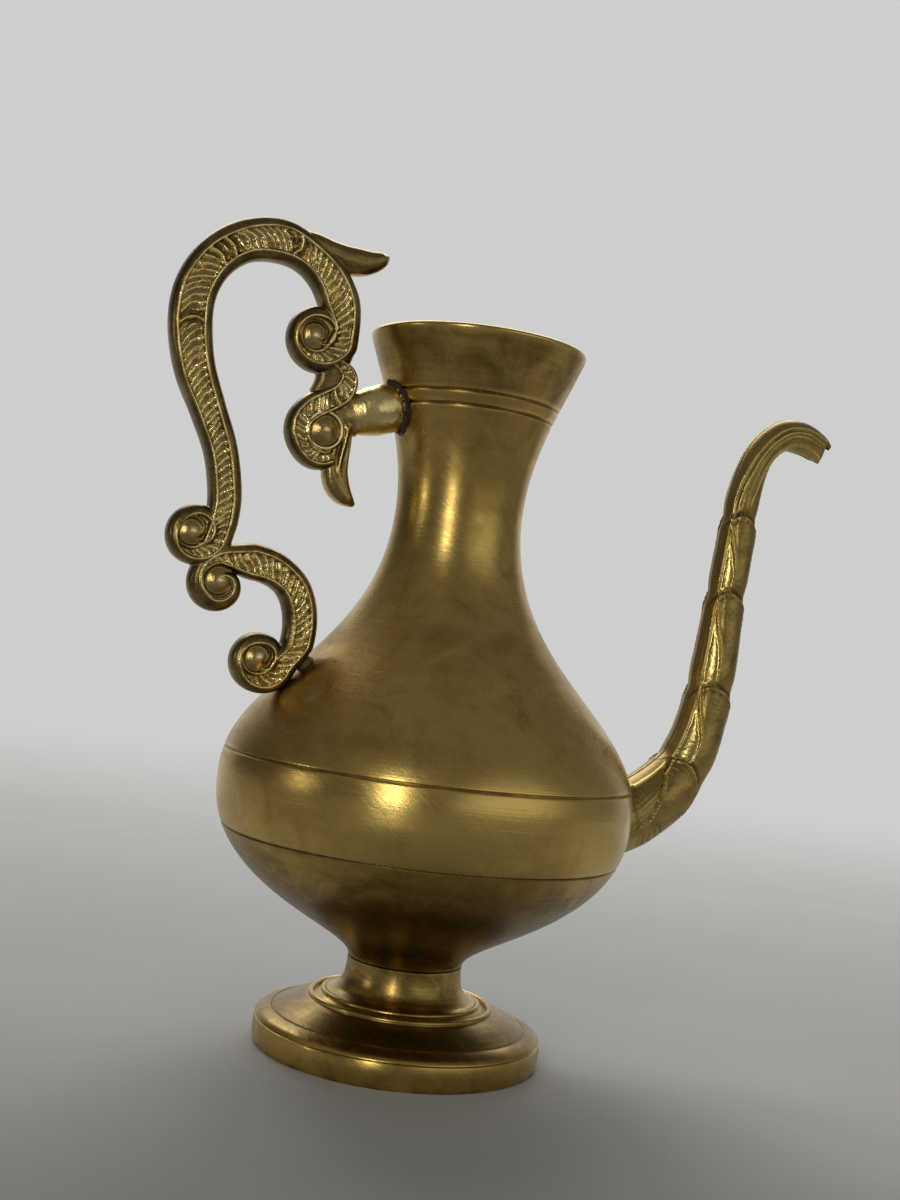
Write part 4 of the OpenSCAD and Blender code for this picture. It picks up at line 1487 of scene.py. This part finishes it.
@dataclass
class LeafSpout:
    """S-shaped spout in two cast halves, with chased leaves below and a fluted arch above.

    Attributes:
        belly_r: Radius of the belly.
        belly_z: Height of the belly's widest line.
        wall: Thickness of the casting.
        joints: Heights of the leaf joints above the belly's widest line.
        steps: Rings for each point of the stroke.
        across: Points across one half.
        stroke: Path of its middle from the belly's widest point, as x, height and half width.
    """

    belly_r: float = 51.5
    belly_z: float = 62.2
    wall: float = 1.3
    joints: Tuple[float, ...] = (13.5, 35.5, 61.3, 82.5)
    steps: int = 34
    across: int = 61
    stroke: Tuple[Triple, ...] = (
        (4.5, -0.9, 9.45), (10.5, 1.7, 8.9), (19, 8.8, 8.1), (24.8, 18.3, 7.1), (27.9, 30.8, 6.4), (29.4, 44.8, 5.95),
        (30.1, 58.8, 5.3), (31.2, 72.8, 5.1), (32.4, 88.8, 4.5), (35.7, 100.2, 4.1), (42, 106.6, 4.15),
        (48.5, 107.45, 4.45), (54.5, 105.75, 4.05), (57.3, 104.25, 3.3),
    )

    def __post_init__(self) -> None:
        """Works out the spine once."""
        rows = through_run(self.stroke, self.steps)
        self.spine = rows[:, :2] + (self.belly_r, self.belly_z)
        self.thick = rows[:, 2]
        self.way = headings(self.spine)
        self.run = travelled(self.spine)
        self.stops = [float(np.interp(self.belly_z + j, self.spine[:, 1], self.run)) for j in self.joints]

    def waist(self) -> Array:
        """Depth of the narrowing at the joints, one value a ring."""
        z = self.spine[:, 1] - self.belly_z
        dips = np.max([bell(z - j, 2.6) for j in self.joints], axis=0)
        return np.where(z > 95, 0.0, 0.45 * dips)

    def relief(self, a: Array) -> Tuple[Array, Array]:
        """Chased relief over the whole half.

        Args:
            a: Angles in degrees from the inner side, from 0 to 180.

        Returns:
            Height outwards and how rubbed each point is.
        """
        s, r = self.run[:, None], self.thick[:, None]
        deg = a[None, :]
        arc = math.pi / 180
        high, wear_and_painted_highlight = np.zeros((len(self.run), len(a))), np.full((len(self.run), len(a)), 0.38)
        border = 29 + 34 * smooth_step(self.run, self.stops[3] + 2, self.stops[3] + 24)[:, None]
        place = np.stack([s + 0 * deg, r * deg * arc, 0 * s * deg], axis=2).reshape(-1, 3)
        shaky = wobble(place, 5.0, 61).reshape(high.shape)
        fine = wobble(place, 1.5, 67).reshape(high.shape)

        edge_d = (deg - border) * arc * r + 0.12 * shaky
        strip = smooth_step(-edge_d, -0.1, 0.3)
        wear_and_painted_highlight = wear_and_painted_highlight - 0.04 * strip
        high = high + 0.2 * bell(edge_d, 0.3)
        lengthwise, crosswise = s * 0.8, deg * arc * r * 0.8
        hatch = np.cos(math.tau * (lengthwise + crosswise)) * np.cos(math.tau * (lengthwise - crosswise))
        lows = [-2.0] + self.stops[:-1]
        for number, (top, low) in enumerate(zip(self.stops, lows)):
            cut, length = LeafCut() if number else ROOT_LEAF, top - low
            d = top - s
            here = smooth_step(d, -0.6, 0.2) * smooth_step(length - d, -0.4, 1.4)
            fall = np.clip(d / (length * cut.reach), 0, 1)
            from_vein = (deg - (36 + cut.sweep * smooth_step(fall, 0.0, 1.0))) * arc * r + cut.shaky * shaky
            crest = np.where(deg < 70, 1.4 * ((70 - deg) / 35) ** 2, cut.hang * ((deg - 70) / 69) ** 2)
            over = d - crest + 0.2 * shaky
            leaf = smooth_step(from_vein, -0.2, 0.3)
            facet = smooth_step(edge_d, 0.1, 0.5) * smooth_step(-from_vein, 0.0, 0.4)
            high = high - here * facet * (0.42 + 0.06 * fine)
            wear_and_painted_highlight = wear_and_painted_highlight + here * facet * cut.bared
            if cut.hatch:
                high = high + here * facet * cut.hatch * hatch
                wear_and_painted_highlight = wear_and_painted_highlight + here * facet * 0.16 * hatch
            line = bell(from_vein, 0.34) * (1 - cut.fade * fall) * smooth_step(length * 0.86 - d, 0, 3)
            beside = 0.34 * bell(from_vein + 0.85, 0.4) * (1 - fall)
            beyond = 0.2 * bell(from_vein - 0.8, 0.35) * (1 - fall)
            high = high + here * (cut.vein * line - beside - beyond)
            rim = bell(over, 0.36) * smooth_step(deg, 35, 44)
            high = high + 0.36 * rim + leaf * smooth_step(over, -0.05, 0.3) * smooth_step(-over, -6.0, -0.6) * 0.2
            under = bell(over + 0.9, 0.5)
            high = high - 0.42 * (under + 0.5 * bell(over - 0.85, 0.35)) * smooth_step(deg, 34, 44)
            veins = 0.5 + 0.5 * np.cos(math.tau * (over / 1.25 + 0.3 * shaky))
            fan = veins * smooth_step(over, 0.6, 1.2) * smooth_step(-over, -8.5, -3.0)
            high = high + leaf * 0.12 * fan
            wear_and_painted_highlight = wear_and_painted_highlight + here * cut.shine * line + 0.6 * rim * smooth_step(d, -2.5, -0.5)
            wear_and_painted_highlight = wear_and_painted_highlight - 0.3 * (under + here * bell(from_vein + 0.85, 0.4) * (1 - fall)) - 0.05 * here * leaf
        petal = np.cos(math.tau * s / 1.5) * smooth_step(deg, 112, 122) * smooth_step(150 - deg, 0, 10)
        petal = petal * smooth_step(9.0 - s, 0, 3)
        high = high + 0.14 * petal
        wear_and_painted_highlight = wear_and_painted_highlight + 0.15 * petal
        heel = smooth_step(deg, 139, 150) * smooth_step(s, 3, 6) * smooth_step(17.0 - s, 0, 4)
        high = high - 0.12 * heel
        wear_and_painted_highlight = wear_and_painted_highlight + 0.55 * heel
        high = high + (1 - strip) * (0.03 * hatch + 0.035 * fine)
        above = smooth_step(s, self.stops[3] + 1.0, self.stops[3] + 6.0)
        for shift, depth in ((0.75, -0.28), (1.5, 0.22), (2.3, -0.1), (4.2, -0.22), (5.0, 0.2)):
            high = high + above * depth * bell(edge_d - shift, 0.3)
            wear_and_painted_highlight = wear_and_painted_highlight + above * max(depth, 0) * 2.2 * bell(edge_d - shift, 0.35)
        wear_and_painted_highlight = wear_and_painted_highlight + 0.45 * bell(edge_d, 0.35) + 0.5 * smooth_step(deg, 166, 178)
        calm = smooth_step(deg, 3, 9) * smooth_step(180 - deg, 3, 9)
        root = smooth_step(s, 0.0, 2.0)
        end = smooth_step(self.run[-1] - s, 0.0, 3.0)
        return high * calm * root * end, np.clip(wear_and_painted_highlight + 0.1 * shaky * (1 - strip), 0, 1)

    def surface(self, side: int, a: Array, depth: Array) -> Array:
        """Points of the spout's face.

        Args:
            side: -1 for the near half, 1 for the far one.
            a: Angles from the inner side, in degrees.
            depth: Depth below the plain face, by ring and angle.

        Returns:
            Array of ring, point and x, y, z.
        """
        t = np.arange(len(self.run)) / self.steps
        near_end = np.clip(t - (len(self.stroke) - 5), 0, None) / 4
        lip = 4.25 * bell(a, 28) - 3.5 * np.cos(np.radians(a) / 2)
        reach = lip[None, :] * (near_end**2)[:, None]
        r = self.thick[:, None] - self.waist()[:, None] - depth
        inner_x, inner_z = -self.way[:, 1:2], self.way[:, 0:1]
        c, s = np.cos(np.radians(a))[None, :], np.sin(np.radians(a))[None, :]
        x = self.spine[:, :1] + self.way[:, :1] * reach + inner_x * r * c
        z = self.spine[:, 1:] + self.way[:, 1:] * reach + inner_z * r * c
        return np.stack([x, side * r * s, z], axis=2)

    def rooted(self, body: PotBody, points: Array, gap: float = 0.05) -> Array:
        """First ring run back onto the belly."""
        way = -np.array([self.way[0, 0], 0, self.way[0, 1]])
        return STRUT.seated(body, points, way, gap)

    def half_shell(self, body: PotBody, side: int, name: str) -> Piece:
        """Makes one half of the spout.

        Args:
            body: The body that it is rooted on.
            side: -1 for the near half, 1 for the far one.
            name: Name of the piece.

        Returns:
            The piece.
        """
        a = np.concatenate([[0.02, 3.5], np.linspace(7.5, 172.5, self.across), [176.5, 179.98]])
        high, wear_and_painted_highlight = self.relief(a)
        from_edge = np.minimum(a, 180 - a)[None, :] * math.pi / 180 * self.thick[:, None]
        groove = 0.14 * np.clip(1 - from_edge / 0.55, 0, 1)
        outer = self.surface(side, a, groove - high)
        inner = self.surface(side, a, np.full_like(high, self.wall))
        outer[0], inner[0] = self.rooted(body, outer[0]), self.rooted(body, inner[0])
        rings = np.concatenate([outer, inner[:, ::-1]], axis=1)
        if side > 0:
            rings, wear_and_painted_highlight = rings[:, ::-1], wear_and_painted_highlight[:, ::-1]
            marks = np.concatenate([np.full_like(wear_and_painted_highlight, 0.1), wear_and_painted_highlight], axis=1)
        else:
            marks = np.concatenate([wear_and_painted_highlight, np.full_like(wear_and_painted_highlight, 0.1)], axis=1)
        shape = Shape()
        shape.add_rings(rings, closed=True, capped=False, wear_and_painted_highlight=marks)
        n = rings.shape[1]
        for row, turn in ((0, -1), (len(rings) - 1, 1)):
            for j in range(n // 2 - 1):
                face = (row * n + j, row * n + j + 1, row * n + n - 2 - j, row * n + n - 1 - j)
                shape.faces.append(face[::turn])
        return show(shape.mesh(name), name, 60.0)

    def seam(self, body: PotBody) -> Piece:
        """Makes the solder lines along the spout's inside and outside."""
        shape = Shape()
        rough = 0.04 * wobble(np.stack([self.run, 0 * self.run, 0 * self.run], axis=1), 3.0, 71)[:, None]
        for middle in (0.0, 180.0):
            rows = []
            for shift, depth in ((0.0, 0.4), (-4.2, 0.07), (-2.0, -0.01), (0.0, -0.03), (2.0, -0.01), (4.2, 0.07)):
                a = np.array([abs(middle - abs(shift))])
                side = 1 if shift >= 0 else -1
                rows.append(self.surface(side, a, np.full((len(self.run), 1), depth) + rough)[:, 0])
            rings = np.stack(rows, axis=1)
            rings[0] = self.rooted(body, rings[0], 0.06)
            shape.add_rings(rings if middle else rings[:, ::-1])
        return show(shape.mesh("spout_seam_line"), "spout_seam_line", 60.0)

    def root_fillet(self, body: PotBody) -> Piece:
        """Makes the solder fillet where the spout stands on the belly."""
        a = np.linspace(-180, 180, 96, endpoint=False)
        way = np.array([self.way[0, 0], 0, self.way[0, 1]])
        rings = []

        def ring(extra: float, gap: float, run: float) -> Array:
            """One line round the root."""
            flat = self.surface(1, np.abs(a), np.full((len(self.run), len(a)), -extra))[0]
            flat[:, 1] = np.abs(flat[:, 1]) * np.sign(a + 1e-9)
            return self.rooted(body, flat, gap) + way * run

        for t in np.linspace(0, 1, 9):
            q = ring(0.15 + 1.2 * t**1.8, 0.06, 2.0 * (1 - t) ** 1.8)
            rings.append(q + (q - q.mean(axis=0)) * (0.012 * wobble(q, 3.0, 83))[:, None])
        for extra, run in ((1.2, 0.0), (0.1, 0.0), (0.1, 2.0)):
            rings.append(ring(extra, 0.03, run))
        rings.append(rings[0])
        shape = Shape()
        shape.add_rings(np.array(rings), closed=True, capped=False)
        return show(shape.mesh("spout_root_fillet"), "spout_root_fillet", 70.0)


STRUT = NeckStrut()


# ---- Room, lamps and camera ----

AHEAD: Pair = (0.407, 0.913)  # level direction from the camera to the pot


@dataclass
class Studio:
    """Pale floor, soft lamps and the camera.

    Attributes:
        floor_colour: Colour of the floor round and behind the pot.
        floor_painted_shadow: Colour of the painted shadow on the floor towards the viewer.
        back: Colour of the backdrop.
        low: Brightness of the room in front, at the pot's height.
        high: Brightness of the room overhead.
        right: Brightness of the room on the right.
        fill: Brightness of the pale wall at the front right.
        lens: Focal length, for a sensor of 36 mm along the long side.
        turn: Angle of the camera round the pot, in degrees.
        tilt: Its tilt out of the level.
        roll: Its roll.
        aside: How far the pot's middle is off the camera's axis, in millimetres.
        away: Distance to the pot's middle.
        aim_z: Height of the pot's middle.
    """

    floor_colour: Colour = (0.66, 0.66, 0.65)
    floor_painted_shadow: Colour = (0.40, 0.40, 0.39)
    back: Colour = (0.62, 0.62, 0.61)
    low: Colour = (0.055, 0.05, 0.045)
    high: Colour = (0.17, 0.165, 0.15)
    right: Colour = (0.19, 0.19, 0.19)
    fill: Colour = (0.66, 0.66, 0.62)
    lens: float = 45.0
    turn: float = 24.0
    tilt: float = -1.4
    roll: float = 6.95
    aside: float = -0.375
    away: float = 375.0
    aim_z: float = 112.25

    def camera(self) -> None:
        """Places the camera at the pot's left front, almost level and slightly rolled."""
        turn, tilt, roll = (math.radians(v) for v in (self.turn, self.tilt, self.roll))
        u = Vector((0, -math.cos(tilt), -math.sin(tilt)))
        e1 = Vector((1, 0, 0))
        e2 = e1.cross(u) if e1.cross(u).z < 0 else u.cross(e1)
        spin = Matrix(((math.cos(roll), -math.sin(roll), 0), (math.sin(roll), math.cos(roll), 0), (0, 0, 1)))
        u, e1, e2 = spin @ u, spin @ e1, spin @ e2
        right = math.cos(turn) * e1 - math.sin(turn) * e2
        down = -(math.sin(turn) * e1 + math.cos(turn) * e2)
        base = spin @ Vector((self.aside, 0, self.away))
        world_to_camera = Matrix(((right.x, down.x, u.x), (right.y, down.y, u.y), (right.z, down.z, u.z)))
        centre = -(world_to_camera.transposed() @ base) + Vector((0, 0, self.aim_z))
        turned = (Matrix(((1, 0, 0), (0, -1, 0), (0, 0, -1))) @ world_to_camera).transposed()
        data = bpy.data.cameras.new("camera")
        data.lens, data.sensor_width, data.sensor_fit = self.lens, 36.0, "AUTO"
        data.clip_start, data.clip_end = 0.01, 50.0
        eye = bpy.data.objects.new("camera", data)
        bpy.context.scene.collection.objects.link(eye)
        eye.matrix_world = Matrix.Translation(centre * MM) @ turned.to_4x4()
        bpy.context.scene.camera = eye
        LOG.info("camera at %s mm", tuple(round(v, 1) for v in centre))

    def floor(self) -> None:
        """Makes the round pale floor, with a painted shadow across it towards the viewer, which fades into the
        backdrop far from the pot.
        """
        shape = Shape()
        round_about = angles(96)
        radii = [20, 100, 200, 400, 800, 1600, 3200, 6000]
        rings = np.array([[(r * math.cos(t), r * math.sin(t), 0.0) for t in round_about] for r in radii])
        shape.add_rings(rings[:, ::-1], closed=True, capped=False)
        shape.points.append(np.array([[0.0, 0.0, 0.0]]))
        shape.wear_and_painted_highlight.append(np.array([PLAIN]))
        n = len(round_about)
        shape.faces += [(shape.count - 1, j, (j + 1) % n)[::-1] for j in range(n)]
        ground = show(shape.mesh("pale_floor"), "pale_floor")
        r = Recipe("pale_floor_cloth")
        at = r.node("ShaderNodeTexCoord", {}, out="Object")
        weave = r.noise(at, 900.0, 3.0, 0.6)
        soft = r.noise(at, 14.0, 3.0, 0.5)
        x, y, _ = r.parts(at)
        tone = weave * 0.1 + soft * 0.12 + 0.89
        # Painted shadow: the floor is mixed darker towards the viewer, across its front.
        painted_shadow_share = (x * 0.5 + y * 0.866).ramp(0.04, -0.18)
        cloth = r.mixed(painted_shadow_share, self.floor_colour, self.floor_painted_shadow)
        r.set(
            Base_Color=r.mixed(1.0, cloth, r.vector(tone, tone, tone), "MULTIPLY"),
            Roughness=0.9, Specular_IOR_Level=0.1,
        )
        r.bump(weave, 0.0006, 0.35)
        self.veil(r, x, y)
        dress(ground, r.material)

    def veil(self, r: Recipe, x: Fed, y: Fed) -> None:
        """Fades the floor into the backdrop's colour, for mirrors behind the pot and for the eye all round.

        Args:
            r: The floor's material.
            x: Place on the floor along the pot.
            y: Place across it.
        """
        path = r.node("ShaderNodeLightPath", {}, out="Is Camera Ray")
        seen, rays = path, path.socket.node.outputs
        mirrored = Fed(r, rays["Is Glossy Ray"]) + Fed(r, rays["Is Transmission Ray"])
        radius = (x * x + y * y) ** 0.5
        ahead = x * AHEAD[0] + y * AHEAD[1]
        behind = ahead.ramp(0.1, 0.6) * (ahead / radius).ramp(0.55, 0.94)
        near = (1.0 - ahead.ramp(0.0, 0.9)) * (1.0 - radius.ramp(0.5, 1.4))
        share = behind * mirrored + (1.0 - near) * seen
        glow = r.node("ShaderNodeEmission", {}, self.back, 1.0, out="Emission")
        lit = Fed(r, r.surface.outputs[0])
        r.plug(r.out.inputs[0], r.node("ShaderNodeMixShader", {}, share, lit, glow, out="Shader"))

    def world(self) -> None:
        """Sets the surroundings: pale behind the pot, a dimmer room in front of it."""
        world = bpy.data.worlds.new("studio")
        bpy.context.scene.world = world
        world.use_nodes = True
        net = Net(world.node_tree)
        place = net.node("ShaderNodeTexCoord", {}, out="Generated")
        tone: Any = self.low
        for axis, start, end, colour in (
            ((0.0, 0.0, 1.0), -0.02, 0.7, self.high), ((AHEAD[1], -AHEAD[0], 0.0), 0.35, 0.95, self.right),
            ((AHEAD[0], -AHEAD[1], 0.0), 0.74, 0.98, self.fill), ((*AHEAD, 0.0), 0.5, 0.92, self.back),
        ):
            toward = net.node("ShaderNodeVectorMath", {"operation": "DOT_PRODUCT"}, place, axis, out="Value")
            tone = net.mixed(toward.ramp(start, end), tone, colour)
        seen = net.node("ShaderNodeLightPath", {}, out="Is Camera Ray")
        ground = net.node("ShaderNodeBackground", {}, net.mixed(seen, tone, self.back), out="Background")
        net.plug(net.tree.nodes.new("ShaderNodeOutputWorld").inputs[0], ground)

    def lamp(self, name: str, at: Triple, size: Pair, power: float, colour: Colour) -> None:
        """Hangs one soft lamp that faces the pot.

        Args:
            name: Name of the lamp.
            at: Its place, in metres.
            size: Its width and height, in metres.
            power: Its power, in watts.
            colour: Its colour.
        """
        data = bpy.data.lights.new(name, "AREA")
        data.shape, data.size, data.size_y = "RECTANGLE", size[0], size[1]
        data.energy, data.color = power, colour
        lamp = bpy.data.objects.new(name, data)
        bpy.context.scene.collection.objects.link(lamp)
        lamp.location = at
        lamp.rotation_mode = "QUATERNION"
        lamp.rotation_quaternion = (Vector((0, 0, 0.1)) - Vector(at)).to_track_quat("-Z", "Y")

    def build(self) -> None:
        """Sets up the whole studio."""
        self.camera()
        self.floor()
        self.world()
        self.lamp("window", (-0.86, -1.0, 0.34), (0.17, 0.8), 3.0, (1.0, 0.98, 0.93))
        self.lamp("side_window", (-1.25, 0.05, 0.2), (0.12, 0.14), 0.5, (1.0, 0.97, 0.9))
        self.lamp("softbox", (0.25, 1.05, 1.2), (1.4, 1.0), 10.5, (1.0, 1.0, 1.0))
        bpy.context.scene.view_settings.view_transform = "Standard"


def dress_nodes(nodes: Dict[str, Piece], finishes: Dict[str, Material]) -> None:
    """Gives every carried-over solid its finish, also those that a finer piece stands for."""
    for finish, names in (
        ("turned", ("foot", "lower_bowl", "upper_body", "foot_braze")),
        ("cast", ("scroll_handle", "spout_near_shell", "spout_far_shell")),
        ("filed", ("neck_strut", "shoulder_peg")), ("clean", ("peg_solder",)),
        ("solder", ("body_seam_braze", "neck_solder", "spout_seam_solder", "spout_root_solder")),
    ):
        for name in names:
            redress(nodes[name], finishes[finish])


def main() -> None:
    """Builds the pot's pieces in order, then the studio."""
    logging.basicConfig(level=logging.INFO, format="%(message)s")
    turned, chased, filed = Worked.TURNED, Worked.CHASED, Worked.FILED
    warm, brown = (0.66, 0.465, 0.142), (0.38, 0.25, 0.068)
    body_brass = AgedBrass("body_brass", turned, warm, brown, lean=-0.5, smooth=0.25).make()
    # Painted shade: the bowl's brass is set darker than the body's, for the shade under the belly.
    bowl_brass_painted_shade = AgedBrass("bowl_brass_painted_shade", turned, (0.53, 0.365, 0.105), (0.29, 0.185, 0.046), smooth=0.25).make()
    foot_brass = AgedBrass(
        "foot_brass", turned, (0.61, 0.415, 0.118), (0.34, 0.222, 0.06), lean=-0.5, smooth=0.22
    ).make()
    # Painted light: the handle's brass is set lighter than the other brass, past real brass, standing in for the
    # glints on its ribs.
    handle_brass_painted_glints = AgedBrass("handle_brass_painted_glints", chased, (1.0, 0.84, 0.42), (0.46, 0.335, 0.12), smooth=0.14).make()
    cast_brass = AgedBrass("cast_brass", Worked.CAST).make()
    spout_brass = AgedBrass("spout_brass", chased, (0.68, 0.52, 0.18), (0.40, 0.285, 0.09), smooth=0.24).make()
    filed_brass = AgedBrass("filed_brass", filed, (0.86, 0.69, 0.3), (0.46, 0.34, 0.12), smooth=0.2).make()
    plain_brass = AgedBrass("plain_brass", turned, warm, brown, rubbed=0.28).make()
    peg_brass = AgedBrass(
        "peg_brass", filed, (0.95, 0.7, 0.24), (0.6, 0.42, 0.13), smooth=0.35, rubbed=0.75
    ).make()
    seam_solder = HardSolder("seam_solder", stained=0.35).make()
    burnt_solder = HardSolder("burnt_solder", (0.36, 0.24, 0.1), (0.05, 0.032, 0.02), 0.36).make()
    clean_solder = HardSolder("clean_solder", (0.5, 0.37, 0.13), (0.16, 0.11, 0.04), 0.12).make()
    dress_nodes(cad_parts, {
        "turned": plain_brass, "cast": cast_brass, "filed": peg_brass, "solder": seam_solder, "clean": clean_solder,
    })

    turning, body = Turning(), PotBody()
    upper, lower, braze = body.build(turning)
    foot = PotFoot().build(turning)
    seat(upper, body_brass, "upper_body")
    seat(lower, bowl_brass_painted_shade, "lower_bowl")
    seat(braze, seam_solder, "body_seam_braze")
    seat(foot, foot_brass, "foot")

    seat(ScrollHandle().build(), handle_brass_painted_glints, "scroll_handle")
    strut, run = STRUT.build(body)
    seat(strut, filed_brass, "neck_strut")
    seat(run, burnt_solder, "neck_solder")

    spout = LeafSpout()
    for side, name, node in ((-1, "spout_near_half", "spout_near_shell"), (1, "spout_far_half", "spout_far_shell")):
        seat(spout.half_shell(body, side, name), spout_brass, node)
    seam, fillet = spout.seam(body), spout.root_fillet(body)
    seat(seam, clean_solder, "spout_seam_solder")
    seat(fillet, clean_solder, "spout_root_solder")

    Studio().build()


if __name__ == "__main__":
    main()
